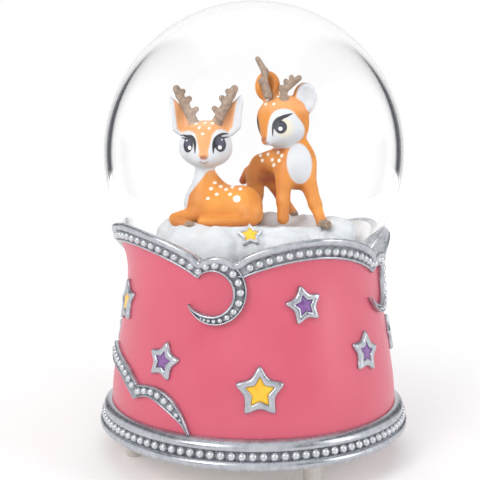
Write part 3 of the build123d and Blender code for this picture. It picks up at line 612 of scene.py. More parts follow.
def band_edges(tip, next_tip, rise):
    """Stations of a band: along a swag, then round the next moon to the point of its horn."""
    cusp = tip + MOON_SPAN
    bearing = np.linspace(cusp - BAND_OVERLAP, next_tip, BAND_STATIONS)
    swag_z = swag_low(np.maximum(bearing, cusp), cusp, next_tip, rise)
    low = np.stack([bearing * MM_PER_DEGREE, swag_z], -1)
    high = low + [0, BAND_HEIGHT - LIP_HEIGHT]
    share = np.linspace(0, 1, BAND_STATIONS + 1)[1:]
    centre = np.array([(next_tip + MOON_OFFSET) * MM_PER_DEGREE, MOON_Z])
    outer_angle, inner_angle = (
        np.radians(a + (b - a) * share) for a, b in (MOON_OUTER_ARC, MOON_INNER_ARC))
    flare = np.clip((-np.degrees(inner_angle) - 95) / 61, 0, 1) ** 2
    outer_radius = MOON_OUTER_RADIUS - 0.3 * np.cos(outer_angle) * np.sin(np.pi * share)
    inner_radius = MOON_INNER_RADIUS + HORN_THINNING * flare
    outer = centre + MOON_OUTER_SHIFT + spoke(outer_radius, outer_angle)
    inner = centre + MOON_INNER_SHIFT + spoke(inner_radius, inner_angle)
    return np.vstack([low, inner]), np.vstack([high, outer]), len(low)


def upper_bands():
    """The beaded band of each swag, which runs on into the next moon."""
    bands = []
    for tip, next_tip, rise in swags():
        low, high, swag_count = band_edges(tip, next_tip, rise)
        into_moon = np.clip((np.arange(len(low)) - swag_count) / 30, 0, 1)
        bands.append((low, high, 1.15 + 0.65 * into_moon, 0.85 + 0.1 * into_moon,
                      1.25 - 0.62 * into_moon, 0.55 + 0.55 * into_moon))
    add_bands("upper", "crescent_moons", bands, bead_rise=0.2, spacing=2.45, most=1.18, start=3.6)


LOWER_BEADS = 108
LOWER_BEAD_RADIUS = 1.2
LOWER_BEAD_CIRCLE = 50.35
LOWER_BEAD_Z = 12.75
LOWER_CHANNEL = [(50.0, 11.65), (49.8, 12.0), (49.8, 13.6), (50.25, 14.0)]
LOWER_SLOPE = [(50.66, 14.15), (50.82, 14.6), (50.65, 15.4), (50.05, 16.1), (49.1, 16.62),
               (48.4, 16.85), (47.7, 16.9)]


def lower_ring():
    """The lower trim: a smooth slope, a channel with a row of beads and a rounded lower roll."""
    angle = np.radians(np.linspace(-88, 80, 14))
    roll = [(50.72 + 1.27 * math.cos(a), 10.32 + 1.29 * math.sin(a)) for a in angle]
    profile = [(48.0, 9.0)] + roll + LOWER_CHANNEL + LOWER_SLOPE
    piece = add_piece("lower_ring", *lathe(profile, 540), "silver_finish", SILVER, ["lower_trim"])
    channel = range(1 + len(roll), len(roll) + len(LOWER_CHANNEL))
    # painted shade on the faces of the bead channel
    paint_channel_shade(piece, [n for n in range(len(piece.data.polygons)) if n % len(profile) in channel])
    bearings = np.arange(LOWER_BEADS) * 360 / LOWER_BEADS
    centres = around(LOWER_BEAD_CIRCLE, bearings, LOWER_BEAD_Z)
    radii = np.full(LOWER_BEADS, LOWER_BEAD_RADIUS)
    add_piece("lower_beads", *bead_points(centres, radii), "silver_finish", PEARL)


# bearing and height of the edges, with the tip where the ribbon's crescent begins
RIBBON_TOP = [(-76, 36.2), (-68.9, 35.1), (-54.2, 32.0), (-45.6, 27.9), (-36.5, 28.4),
              (-29.6, 26.6), (-24.6, 22.6), (-21.0, 16.9)]
RIBBON_LOW = [(-76, 31.4), (-65.6, 29.9), (-56.8, 28.1), (-46.6, 23.3), (-41.5, 24.9),
              (-35.9, 24.6), (-26.2, 20.4), (-21.8, 16.9)]
RIBBON_CUSP = 3
RIBBON_LIP = 0.62
RIBBON_CREST = 1.4
RIBBON_FLOOR = 0.75


def ribbons():
    """A hanging beaded ribbon and the crescent that falls from its tip, on two sides."""
    def edge(line):
        flat = np.array([(b * MM_PER_DEGREE, z) for b, z in line])
        return smooth_line(flat[:RIBBON_CUSP + 1], 40), smooth_line(flat[RIBBON_CUSP:], 50)

    bands = []
    for turn in (0, 180):
        for high, low in zip(edge(RIBBON_TOP), edge(RIBBON_LOW)):
            shift = np.array([turn * MM_PER_DEGREE, 0])
            crest, lip, floor = (
                np.full(len(low), v) for v in (RIBBON_CREST, RIBBON_LIP, RIBBON_FLOOR))
            bands.append((low + shift, high + shift, crest, lip, lip, floor))
    add_bands("ribbon", "ribbons", bands, bead_rise=0.15, spacing=2.3, most=1.15, start=1.2)


# ---------------------------------------------------------------- stars
# bearing, height, tip radius and turn of each star, on the front half; the back half repeats them
PURPLE_STARS = [(19.4, 52.7, 5.5, 12.0), (46.6, 37.4, 6.0, -9.0), (-34.0, 36.0, 5.5, -10.0)]
YELLOW_STARS = [(2.3, 29.6, 7.0, 0.0), (-66.5, 50.4, 6.9, 6.0), (84.0, 38.3, 6.0, 8.0)]
PURPLE_SHARE = 0.54
YELLOW_SHARE = 0.62
STAR_WAIST = 0.52


def star_outline(radius, turn, rounding):
    """A five-pointed star with its corners cut round, as many points for any size."""
    angle = np.radians(90 + turn + 36 * np.arange(10))
    reach = np.where(np.arange(10) % 2 == 0, radius, STAR_WAIST * radius)
    line = spoke(reach, angle)
    for cut in (rounding, 0.25, 0.25, 0.25):
        ahead = np.roll(line, -1, 0)
        line = np.stack([line + (ahead - line) * cut, ahead + (line - ahead) * cut], 1)
        line = line.reshape(-1, 2)
    return line


def on_star_place(flat, bearing, z, out):
    """A flat sketch laid on the base's side at a bearing and a height."""
    height = z + flat[..., 1]
    radius = side_radius(height) + out
    turn = bearing + np.degrees(np.arcsin(flat[..., 0] / radius))
    return around(radius, turn, height)


FRAME_SHARES = np.array([0.0, 0.0, 0.06, 0.2, 0.45, 0.72, 0.9, 1.0, 1.0])
FRAME_HEIGHTS = np.array([-0.3, 0.95, 1.12, 1.26, 1.3, 1.26, 1.05, 0.65, -0.3])
INLAY_SHARES = np.array([1.03, 1.03, 0.8, 0.5, 0.2])
INLAY_HEIGHTS = np.array([-0.3, 0.7, 0.82, 0.88, 0.9])


def star_parts(outer, inner, lay):
    """The border and the inlay of one star, each (points, faces). lay puts a flat sketch and
    its heights in place."""
    rings = inner[:, None, :] + (outer - inner)[:, None, :] * FRAME_SHARES[None, :, None]
    border = lay(rings, FRAME_HEIGHTS)
    rings = inner[:, None, :] * INLAY_SHARES[None, :, None]
    inlay = lay(rings, INLAY_HEIGHTS)
    rows, columns = inlay.shape[:2]
    faces = grid_faces(rows, columns, close_columns=False).tolist()
    faces.append([row * columns + columns - 1 for row in range(rows)])
    faces.append([row * columns for row in reversed(range(rows))])
    return (border, grid_faces(*border.shape[:2])), (inlay, faces)


def stars(places, share, colour, material):
    """The inlays of one colour as a piece, and the borders to be added with the others."""
    borders, inlays = [], []
    for bearing, z, radius, turn in places + [(b + 180, z, r, t) for b, z, r, t in places]:
        outer = star_outline(radius * 1.05 + 0.55, turn, 0.2)
        inner = star_outline(radius * share, turn, 0.08)
        border, inlay = star_parts(
            outer, inner, lambda flat, out: on_star_place(flat, bearing, z, out[None, :]))
        borders.append(border)
        inlays.append(inlay)
    add_piece(colour + "_star_inlays", *join(inlays), colour + "_enamel", material,
              ["star_inlays_" + colour])
    return borders


def all_stars():
    borders = stars(PURPLE_STARS, PURPLE_SHARE, "purple", PURPLE)
    borders += stars(YELLOW_STARS, YELLOW_SHARE, "yellow", YELLOW)
    add_piece("star_borders", *join(borders), "silver_finish", SILVER, ["star_frames"])


# ---------------------------------------------------------------- feet and glass
FOOT_PROFILE = [(0.0, 0.0), (1.9, 0.0), (2.35, 0.15), (2.6, 0.6), (3.2, 9.38), (0.0, 9.38)]
FOOT_CIRCLE = 42.0
FIRST_FOOT = 24.3


def plastic_feet():
    points, faces = lathe(FOOT_PROFILE, 48)
    feet = [(points + around(FOOT_CIRCLE, FIRST_FOOT + 90 * n, 0.0), faces) for n in range(4)]
    piece = add_piece("round_feet", *join(feet), "white_plastic", FOOT, ["feet"])
    close_poles(piece)
    piece.data.set_sharp_from_angle(angle=math.radians(50))


def globe_arc(radius, first, last):
    """Part of a circle about the globe's centre, by the angle from its top."""
    return [(radius * math.sin(a), GLOBE_CENTRE_Z + radius * math.cos(a))
            for a in np.linspace(first, last, 150)]


def glass_ball():
    """The ball with its neck, hollow."""
    inner_radius = GLOBE_RADIUS - GLASS_WALL
    bore = NECK_RADIUS - GLASS_WALL
    outer = globe_arc(GLOBE_RADIUS, 0, math.pi - math.asin(NECK_RADIUS / GLOBE_RADIUS))
    inner = globe_arc(inner_radius, math.pi - math.asin(bore / inner_radius), 0)
    neck = [(NECK_RADIUS, NECK_BOTTOM_Z), (bore, NECK_BOTTOM_Z)]
    points, faces = lathe(outer + neck + inner, 240)
    piece = add_piece("glass_ball", points, faces, "clear_glass", GLASS, ["glass_globe"])
    close_poles(piece)
    piece.data.set_sharp_from_angle(angle=math.radians(40))


# ---------------------------------------------------------------- modelled resin figures
def ball(place, centre, radii):
    """Signed distance to an ellipsoid or ellipse, close to exact near its edge."""
    p = [a - c for a, c in zip(place, centre)]
    near = np.sqrt(sum((a / r) ** 2 for a, r in zip(p, radii)))
    steep = np.sqrt(sum((a / r**2) ** 2 for a, r in zip(p, radii)))
    return near * (near - 1) / np.maximum(steep, 1e-6)


def limb(place, start, end, start_radius, end_radius):
    """Signed distance to a tapered bar with round ends."""
    run = [b - a for a, b in zip(start, end)]
    length = sum(r * r for r in run)
    p = [a - s for a, s in zip(place, start)]
    share = np.clip(sum(a * r for a, r in zip(p, run)) / length, 0, 1)
    gap = np.sqrt(sum((a - r * share) ** 2 for a, r in zip(p, run)))
    return gap - (start_radius + (end_radius - start_radius) * share)


def flat_shape(x, z, corners):
    """Signed distance in the x-z plane to a polygon."""
    corners = np.asarray(corners, float)
    best, inside = np.inf, False
    for (ax, az), (bx, bz) in zip(corners, np.roll(corners, -1, 0)):
        ex, ez = bx - ax, bz - az
        share = np.clip(((x - ax) * ex + (z - az) * ez) / (ex * ex + ez * ez), 0, 1)
        gap = (x - ax - ex * share) ** 2 + (z - az - ez * share) ** 2
        best = np.minimum(best, gap)
        crosses = ((az > z) != (bz > z)) & (x < ax + (z - az) * ex / (ez if ez else 1e-9))
        inside = inside ^ crosses
    return np.where(inside, -1, 1) * np.sqrt(best)


def plate(place, corners, middle, half_thickness, rounding):
    """Signed distance to a flat plate with rounded edges that faces the front."""
    x, y, z = place
    side = flat_shape(x, z, corners) + rounding
    front = np.abs(y - middle) - half_thickness + rounding
    outside = np.sqrt(np.maximum(side, 0) ** 2 + np.maximum(front, 0) ** 2)
    return outside + np.minimum(np.maximum(side, front), 0) - rounding


def blend(a, b, reach):
    """Two shapes joined with a soft fillet."""
    near = np.maximum(reach - np.abs(a - b), 0) / reach
    return np.minimum(a, b) - near * near * reach / 4


def carve(a, b, reach):
    """The first shape with the second taken out of it softly."""
    return -blend(-a, b, reach)


def build(place, parts):
    """A shape from a list of balls and bars, each joined to the ones before it."""
    shape = None
    for reach, *part in parts:
        one = ball(place, *part) if len(part) == 2 else limb(place, *part)
        shape = one if shape is None else blend(shape, one, reach)
    return shape


def surface_net(field, low, step):
    """A closed quad mesh of the zero level of a field sampled on a grid."""
    cells = np.array(field.shape) - 1
    count = np.zeros(cells, np.float32)
    total = np.zeros((3, *cells), np.float32)
    edges = []
    for axis in range(3):
        others = [(axis + 1) % 3, (axis + 2) % 3]
        first, second = [slice(None)] * 3, [slice(None)] * 3
        first[axis], second[axis] = slice(0, -1), slice(1, None)
        a, b = field[tuple(first)], field[tuple(second)]
        cross = (a < 0) != (b < 0)
        share = np.where(cross, a / np.where(cross, a - b, 1), 0)
        for u in (0, 1):
            for v in (0, 1):
                cut = [slice(None)] * 3
                cut[others[0]] = slice(u, u + cells[others[0]])
                cut[others[1]] = slice(v, v + cells[others[1]])
                crossed = cross[tuple(cut)]
                count += crossed
                total[axis] += share[tuple(cut)]
                total[others[0]] += crossed * u
                total[others[1]] += crossed * v
        edges.append((others, cross, a < 0))
    used = count > 0
    index = np.full(cells, -1)
    index[used] = np.arange(used.sum())
    points = np.argwhere(used) + (total[:, used] / count[used]).T
    faces = []
    for others, cross, starts_inside in edges:
        e = np.argwhere(cross)
        keep = np.all([(e[:, n] > 0) & (e[:, n] < cells[n]) for n in others], 0)
        e = e[keep]
        corners = []
        for steps in ((1, 1), (0, 1), (0, 0), (1, 0)):
            cell = e.copy()
            cell[:, others[0]] -= steps[0]
            cell[:, others[1]] -= steps[1]
            corners.append(index[tuple(cell.T)])
        quads = np.stack(corners, 1)
        turned = ~starts_inside[tuple(e.T)]
        quads[turned] = quads[turned][:, ::-1]
        faces.append(quads)
    return np.array(low) + points * step, np.vstack(faces)


NUDGES = 0.05 * np.eye(3)


def sculpt(shape, low, high, step):
    """Mesh of a signed distance function inside a box, with its points eased onto it."""
    axes = [np.arange(a, b + step, step, dtype=np.float32) for a, b in zip(low, high)]
    x, y, z = axes[0][:, None, None], axes[1][None, :, None], axes[2][None, None, :]
    field = shape((x, y, z)) + np.zeros([len(axis) for axis in axes], np.float32)
    points, faces = surface_net(field, low, step)
    for _ in range(2):
        here = shape(points.T)
        gradient = np.stack([shape((points + nudge).T) - here for nudge in NUDGES], 1)
        gradient /= np.maximum(np.linalg.norm(gradient, axis=1, keepdims=True), 1e-9)
        points = points - gradient * np.clip(here, -0.5 * step, 0.5 * step)[:, None]
    return points, faces


def soften(piece, rounds):
    """Even out the mesh with a smoothing modifier."""
    modifier = piece.modifiers.new("soften", "SMOOTH")
    modifier.factor = 0.5
    modifier.iterations = rounds


def add_fawn(name, points, faces, paint, replaced):
    """A fawn with its painted areas kept on the mesh as distances in millimetres."""
    piece = add_piece(name, points, faces, "fawn_resin", FAWN, [replaced])
    for area, values in paint(points.T).items():
        attribute = piece.data.attributes.new(area, "FLOAT", "POINT")
        attribute.data.foreach_set("value", np.asarray(values, np.float32))
    soften(piece, 2)


def disc(x, z, centre, radii, turn=0.0):
    """Distance in the x-z plane to an ellipse."""
    c, s = math.cos(math.radians(turn)), math.sin(math.radians(turn))
    dx, dz = x - centre[0], z - centre[1]
    u, v = dx * c + dz * s, -dx * s + dz * c
    return ball((u, v), (0, 0), radii)


def discs(x, z, places):
    """Distance to painted ellipses, each (centre, radii) or (centre, radii, turn)."""
    return union(*[disc(x, z, *place) for place in places])


def dots(x, z, centres, radii, turn):
    """Distance to spots of one size."""
    return discs(x, z, [(centre, radii, turn) for centre in centres])


def stroke(x, z, line, widths):
    """Distance in the x-z plane to a brush stroke, with its half widths along it."""
    line = smooth_line(np.column_stack([line, widths]), 24)
    return union(*[limb((x, z), (ax, az), (bx, bz), a_width, b_width)
                   for (ax, az, a_width), (bx, bz, b_width) in zip(line[:-1], line[1:])])


def strokes(x, z, lines):
    return union(*[stroke(x, z, *line) for line in lines])


def union(*distances):
    return np.minimum.reduce([np.asarray(d) for d in distances])


def only(distance, condition, away=3.0):
    """The distance where the condition holds, and far away elsewhere."""
    return np.where(condition, distance, away)


# ---------------------------------------------------------------- cloud
# middle and radius of each lump
CLOUD_PUFFS = [
    (-25.5, -5.0, 68.6, 7.6), (-20.5, -14.5, 66.8, 8.4), (-11.5, -20.5, 65.4, 8.6),
    (-1.0, -22.0, 67.6, 6.6), (9.5, -20.0, 65.2, 8.4), (18.5, -14.5, 66.0, 7.0),
    (27.8, 2.5, 69.4, 7.6), (20.0, 12.0, 69.4, 8.2), (8.0, 19.0, 69.6, 8.0),
    (-6.0, 20.0, 69.0, 8.2), (-18.5, 13.0, 68.6, 8.2),
]
CLOUD_BUMPS = [
    (-28.0, -6.5, 72.6, 3.6), (-24.0, -13.0, 71.2, 3.8), (-16.5, -19.5, 70.0, 3.6),
    (-8.5, -24.0, 67.5, 3.6), (6.5, -23.5, 67.8, 3.8), (13.5, -20.5, 69.2, 3.8),
    (25.5, -10.5, 67.4, 4.6), (31.6, 1.5, 71.4, 3.8), (-30.0, -1.5, 68.0, 3.2),
    (5.5, 15.0, 74.5, 4.6), (14.0, 13.0, 73.2, 4.4), (-13.0, 15.0, 73.0, 4.6),
]
CLOUD_BOTTOM_Z = 59.2
CLOUD_GAP = 0.5
CLOUD_STEP = 0.6


def cloud_shape(place):
    """Puffs and bumps on a drum, with a bent ripple over all, that stop short of the glass,
    and the short plug that holds the cloud."""
    x, y, z = place
    radius = np.sqrt(x * x + y * y)
    shape = np.maximum(radius - 23.0, np.abs(z - 66.3) - 7.2)
    for lumps, flatness, reach in ((CLOUD_PUFFS, 1.0, 2.6), (CLOUD_BUMPS, 0.85, 2.2)):
        for *centre, size in lumps:
            lump = ball(place, centre, (size, size, size * flatness))
            shape = blend(shape, lump, reach)
    bent_x = x + 3.0 * np.sin(y * 0.27 + 0.6) + 1.6 * np.sin(z * 0.5)
    bent_y = y + 3.2 * np.sin(x * 0.23 + 1.9)
    ripple = np.sin(bent_x * 0.62 + 1.3) * np.sin(bent_y * 0.57 + 0.4)
    shape = shape + 0.34 * ripple + 0.12 * np.sin(bent_x * 1.5) * np.sin(bent_y * 1.3 + z)
    plug = np.maximum(radius - 17.0, np.abs(z - 60.0) - 1.95)
    shape = np.minimum(np.maximum(shape, CLOUD_BOTTOM_Z - z), plug)
    room = GLOBE_RADIUS - GLASS_WALL - CLOUD_GAP
    return np.maximum(shape, np.sqrt(radius**2 + (z - GLOBE_CENTRE_Z) ** 2) - room)


def cloud():
    points, faces = sculpt(cloud_shape, (-35, -32, 56.5), (38, 31, 80), CLOUD_STEP)
    piece = add_piece("cloud", points, faces, "white_resin", CLOUD, ["cloud_plinth"])
    soften(piece, 4)


CLOUD_STAR_PLACE = (-0.9, -26.7, 71.7)
CLOUD_STAR_LEAN = math.atan(0.75)
CLOUD_STAR_TURN = 4.0
CLOUD_STAR_RELIEF = 0.85


def cloud_star():
    """The star on the cloud's front, leaning back."""
    tilt = CLOUD_STAR_LEAN
    up = np.array([0.0, math.sin(tilt), math.cos(tilt)])
    out = np.array([0.0, -math.cos(tilt), math.sin(tilt)])
    sideways = np.array([1.0, 0.0, 0.0])

    def lay(rings, heights):
        if heights is FRAME_HEIGHTS:
            heights = heights * CLOUD_STAR_RELIEF
        flat = rings[..., 0:1] * sideways + rings[..., 1:2] * up
        return CLOUD_STAR_PLACE + flat + heights[None, :, None] * out

    outer = star_outline(4.5, CLOUD_STAR_TURN, 0.17)
    inner = star_outline(2.75, CLOUD_STAR_TURN, 0.06)
    border, fill = star_parts(outer, inner, lay)
    add_piece("cloud_star_border", *join([border]), "silver_finish", PEARL, ["cloud_star_frame"])
    add_piece("cloud_star_fill", *join([fill]), "yellow_enamel", YELLOW, ["cloud_star_inlay"])


# ---------------------------------------------------------------- lying fawn
# Parts of a figure: (fillet to the parts before, centre, radii) for a ball, and (fillet, start,
# end, start radius, end radius) for a bar.
LYING_BODY = [
    (0.0, (-12.6, -5.0, 79.6), (9.6, 8.2, 7.4)),
    (4.0, (-3.6, -4.0, 79.8), (6.9, 8.8, 7.7)),
    (3.0, (-17.0, -6.5, 81.0), (5.2, 5.4, 5.6)),
    (3.5, (-16.0, -6.4, 94.0), (-16.5, -6.2, 83.5), 2.9, 4.9),
    (3.0, (-14.6, -3.4, 91.5), (-10.6, -2.8, 86.0), 1.4, 2.2),
]
LYING_HEAD = [
    (0.0, (-15.6, -7.0, 101.6), (8.1, 7.0, 7.2)),
    (2.5, (-15.6, -7.8, 99.0), (8.5, 6.8, 5.7)),
    (2.6, (-15.6, -12.8, 95.9), (3.3, 3.2, 2.5)),
]
LYING_NEAR_LEGS = [
    (0.0, (-0.9, -10.2, 78.2), (4.2, 4.2, 4.4)),
    (1.5, (-1.5, -13.0, 75.8), (-9.5, -13.6, 74.9), 2.0, 1.6),
    (0.9, (-6.5, -13.6, 75.4), (-16.0, -14.0, 75.4), 2.0, 2.0),
]
LYING_FAR_LEG = [
    (0.0, (-18.0, -9.5, 78.0), (-25.2, -12.2, 76.4), 2.9, 2.1),
    (1.0, (-24.6, -13.8, 75.5), (-19.9, -16.9, 74.3), 1.7, 1.6),
]
LYING_ANTLERS = [
    (0.0, (-19.2, -8.2, 107.4), (-25.1, -8.6, 118.8), 1.7, 1.25),
    (0.5, (-24.4, -8.6, 116.6), (-23.0, -8.6, 118.0), 1.0, 0.9),
    (0.5, (-22.8, -8.6, 113.8), (-20.9, -8.6, 115.6), 1.1, 1.0),
    (0.5, (-20.8, -8.6, 110.4), (-18.7, -8.6, 112.2), 1.1, 1.0),
    (0.5, (-12.3, -8.2, 107.4), (-6.1, -8.6, 118.8), 1.7, 1.25),
    (0.5, (-6.9, -8.6, 116.6), (-8.3, -8.6, 118.0), 1.0, 0.9),
    (0.5, (-8.5, -8.6, 113.8), (-10.3, -8.6, 115.8), 1.1, 1.0),
    (0.5, (-10.7, -8.6, 110.4), (-12.7, -8.6, 112.4), 1.1, 1.0),
]
LYING_EAR_LEFT = [(-27.7, 117.2), (-26.6, 105.4), (-24.0, 103.6), (-17.5, 106.2), (-22.4, 112.4)]
LYING_EAR_RIGHT = [(-4.0, 117.2), (-3.3, 115.0), (-4.1, 106.2), (-7.0, 103.6), (-14.0, 106.2),
                   (-9.2, 112.4)]
EAR_SCOOP = (3.0, 2.5, 5.6)


def lying_shape(place):
    body = blend(build(place, LYING_BODY), build(place, LYING_HEAD), 1.4)
    legs = blend(build(place, LYING_NEAR_LEGS), build(place, LYING_FAR_LEG), 0.9)
    ears, scoops = (np.minimum(left, right) for left, right in (
        [plate(place, corners, -6.6, 1.15, 0.9) for corners in (LYING_EAR_LEFT, LYING_EAR_RIGHT)],
        [ball(place, (x, -9.3, 109.5), EAR_SCOOP) for x in (-22.8, -8.9)]))
    shape = blend(blend(body, legs, 1.1), carve(ears, scoops, 0.8), 1.0)
    return blend(shape, build(place, LYING_ANTLERS), 0.4)


# the painted marks, in the x-z plane
LYING_THROAT = [(-24, 79), (-24, 96), (-14.6, 93), (-16.0, 90.4), (-18.6, 87.2), (-20.8, 84.4),
                (-21.8, 80)]
LYING_EAR_RIMS = [
    [(-29, 119), (-26.4, 117.6), (-25.0, 106.0), (-22.0, 103.0), (-26, 101), (-30, 104)],
    [(-2, 119), (-5.4, 116.0), (-6.9, 106.5), (-9.6, 103.4), (-6, 101), (-1, 104)],
]
LYING_LASHES = [
    ([(-23.9, 104.0), (-22.2, 103.1), (-20.2, 102.7), (-19.2, 100.8), (-19.1, 97.3)],
     [0.18, 0.42, 0.5, 0.5, 0.15]),
    ([(-24.0, 103.0), (-22.6, 102.3), (-21.4, 102.1)], [0.12, 0.3, 0.4]),
    ([(-8.4, 104.2), (-10.6, 103.7), (-12.4, 102.2), (-13.1, 100.0), (-13.3, 97.3)],
     [0.18, 0.42, 0.55, 0.5, 0.15]),
    ([(-8.2, 103.2), (-9.6, 102.7), (-10.8, 102.4)], [0.12, 0.3, 0.4]),
]
LYING_SMILE = ([(-17.4, 94.7), (-16.6, 94.25), (-15.7, 94.2), (-15.0, 94.6)],
               [0.12, 0.15, 0.15, 0.12])
LYING_EYES = [((-21.4, 100.2), (1.65, 2.5), -4), ((-11.1, 100.4), (1.8, 2.55), 4)]
LYING_IRISES = [((-21.4, 101.0), (1.2, 1.5), -4), ((-11.1, 101.2), (1.3, 1.6), 4)]
LYING_SHINES = [((-20.9, 99.2), (0.6, 0.62)), ((-11.2, 99.3), (0.6, 0.62)),
                ((-21.9, 101.6), (0.22, 0.28)), ((-10.6, 101.8), (0.22, 0.28))]
LYING_PATCHES = [((-22.2, 99.4), (4.7, 5.6)), ((-10.5, 99.6), (4.7, 5.8))]
LYING_BROW = [(-19.1, 107.3), (-16.1, 107.5), (-13.7, 107.3), (-17.9, 105.7), (-14.7, 105.5),
              (-16.7, 103.6)]
LYING_BACK = [(-13.7, 86.2), (-10.7, 87.0), (-8.9, 86.0), (-6.9, 86.8), (-4.2, 86.2),
              (-11.8, 84.4), (-7.5, 84.4), (-14.6, 83.0), (-12.6, 88.2)]
BRIDGE_HEIGHTS = [95.2, 95.8, 97.2, 103.4, 106.5]
BRIDGE_HALF_WIDTHS = [-1.5, 0.9, 1.2, 2.7, 5.0]
FACE_SHIFT = 0.55
ANTLER_PAINT = 0.45
NOWHERE = 9.0
FAWN_STEP = 0.34


def lying_paint(place):
    x, y, z = place
    head = build(place, LYING_HEAD)
    # the marks of the face end up FACE_SHIFT further to +X than they are written
    x = np.where((head < 1.4) & (y < -9.0), x - FACE_SHIFT, x)
    place = x, y, z
    on_head = (head < 1.4) & (z > 92.5)
    in_front = on_head & (y < -7.0)
    bridge = np.abs(x + 16.3) - np.interp(z, BRIDGE_HEIGHTS, BRIDGE_HALF_WIDTHS)
    sides = only(z - 100.2, np.abs(x + 16.2) > 6.0)
    face_white = np.maximum(union(discs(x, z, LYING_PATCHES), z - 96.3, sides), -bridge)
    throat = flat_shape(x, z, LYING_THROAT)
    ear_rims = union(*[flat_shape(x, z, corners) for corners in LYING_EAR_RIMS])
    nose_tip = disc(x, z, (-16.25, 95.9), (1.3, 0.68))
    hoof = ball(place, (-19.6, -17.6, 74.0), (2.3, 2.6, 2.2))
    under_chin = ball(place, (-12.0, -1.0, 90.0), (2.6, 3.0, 4.5))
    return {
        "white": union(only(face_white, on_head & (y < -3.5)),
                       only(throat, (y < -4.5) & (z < 94) & ~(head < 0.2)),
                       only(ear_rims, (head > 0.35) & (z > 103))),
        "brown": union(only(build(place, LYING_ANTLERS) - ANTLER_PAINT, z > 105.5), hoof),
        "black": only(union(strokes(x, z, LYING_LASHES), discs(x, z, LYING_EYES)), in_front),
        "iris": only(discs(x, z, LYING_IRISES), in_front),
        "shine": only(discs(x, z, LYING_SHINES), in_front),
        "spots": union(only(dots(x, z, LYING_BROW, (0.5, 0.42), 20), in_front),
                       only(dots(x, z, LYING_BACK, (0.62, 0.48), 15), (y < -3.0) & (z < 90)),
                       only(disc(x, z, (-5.3, 82.9), (1.2, 1.1)), y < -5.0)),
        "face": np.minimum(np.maximum(head - 1.5, 92.0 - z), 103.0 - z),
        # painted shade: a dark ring where the fawn meets the cloud and a patch under its neck
        "painted_shade": union(np.abs(z - 74.0) - 0.6, only(under_chin, head > 1.0)),
        "nose": only(union(nose_tip, stroke(x, z, *LYING_SMILE)), in_front),
        "cream": np.full_like(z, NOWHERE),
    }


def lying_fawn():
    points, faces = sculpt(lying_shape, (-30.5, -19.5, 71.0), (8.0, 6.5, 121.5), FAWN_STEP)
    add_fawn("fawn_lying", points, faces, lying_paint, "lying_fawn")


# ---------------------------------------------------------------- standing fawn
STANDING_BODY = [
    (0.0, (14.9, 3.2, 94.4), (6.9, 6.8, 8.3)),
    (3.5, (11.6, 5.5, 96.6), (2.8, 11.0, 95.6), 5.4, 3.7),
    (3.0, (13.2, 4.2, 104.0), (14.6, 4.4, 96.5), 4.9, 6.2),
]
STANDING_HEAD = [
    (0.0, (10.2, 2.6, 110.6), (9.0, 8.0, 8.0)),
    (2.5, (10.6, 1.6, 106.6), (8.0, 7.0, 6.0)),
    (3.0, (7.4, -2.2, 104.8), (4.8, -4.6, 102.8), 4.2, 2.1),
]
STANDING_LEGS = [
    [(0.0, (10.6, 0.4, 92.0), (10.2, -2.2, 82.0), 3.2, 2.15),
     (1.5, (10.2, -2.2, 82.0), (10.1, -3.4, 76.2), 2.1, 2.0)],
    [(0.0, (18.2, 2.0, 91.0), (21.2, -0.8, 81.0), 3.2, 2.1),
     (1.5, (21.2, -0.8, 81.0), (23.2, -3.2, 75.0), 2.0, 1.75),
     (1.0, (23.2, -3.6, 74.8), (24.8, -5.2, 74.2), 1.7, 1.6)],
    [(0.0, (1.0, 10.5, 92.4), (0.6, 10.5, 85.0), 3.5, 2.9),
     (2.0, (0.6, 10.5, 85.0), (1.4, 12.4, 75.4), 2.6, 1.9)],
    [(0.0, (4.6, 12.5, 92.0), (10.2, 13.0, 84.0), 2.6, 1.9),
     (1.5, (10.2, 13.0, 84.0), (15.0, 13.0, 77.6), 1.8, 1.5)],
]
STANDING_TAIL = ((-1.6, 13.0, 93.0), (-3.6, 14.2, 89.8), 1.9, 1.5)
# centre and radii of each ear, then of the hollow in it
STANDING_EARS = [
    ((4.9, 1.2, 121.4), (4.3, 1.9, 5.2), (4.9, -1.6, 121.6), (3.0, 2.4, 3.9)),
    ((17.6, 0.8, 117.2), (4.1, 2.4, 5.4), (18.2, -2.4, 117.4), (3.1, 2.8, 4.4)),
]
STANDING_ANTLERS = [
    (0.0, (5.0, -1.6, 117.6), (3.6, -1.6, 122.6), 1.5, 1.3),
    (0.5, (3.6, -1.6, 122.6), (4.0, -1.4, 126.0), 1.2, 1.1),
    (0.5, (4.0, -1.4, 125.6), (1.5, -1.4, 130.1), 1.2, 0.9),
    (0.5, (3.6, -1.6, 121.4), (2.2, -1.8, 122.6), 0.9, 0.8),
    (0.5, (10.4, -2.0, 115.8), (10.3, -2.2, 119.4), 1.35, 1.2),
    (0.5, (10.3, -2.2, 118.4), (9.4, -2.4, 120.3), 0.95, 0.9),
    (0.5, (10.4, -2.2, 119.4), (15.4, -1.8, 123.6), 1.25, 1.0),
    (0.5, (11.4, -2.2, 120.6), (10.9, -2.2, 122.5), 0.9, 0.85),
    (0.5, (13.0, -2.0, 122.0), (12.8, -2.0, 123.8), 0.9, 0.85),
]


def standing_shape(place):
    shape = blend(build(place, STANDING_BODY), build(place, STANDING_HEAD), 1.2)
    for leg in STANDING_LEGS:
        shape = blend(shape, build(place, leg), 2.2)
    shape = blend(shape, limb(place, *STANDING_TAIL), 1.2)
    for centre, radii, hollow_centre, hollow_radii in STANDING_EARS:
        hollow = ball(place, hollow_centre, hollow_radii)
        shape = blend(shape, carve(ball(place, centre, radii), hollow, 0.6), 1.2)
    return blend(shape, build(place, STANDING_ANTLERS), 0.4)


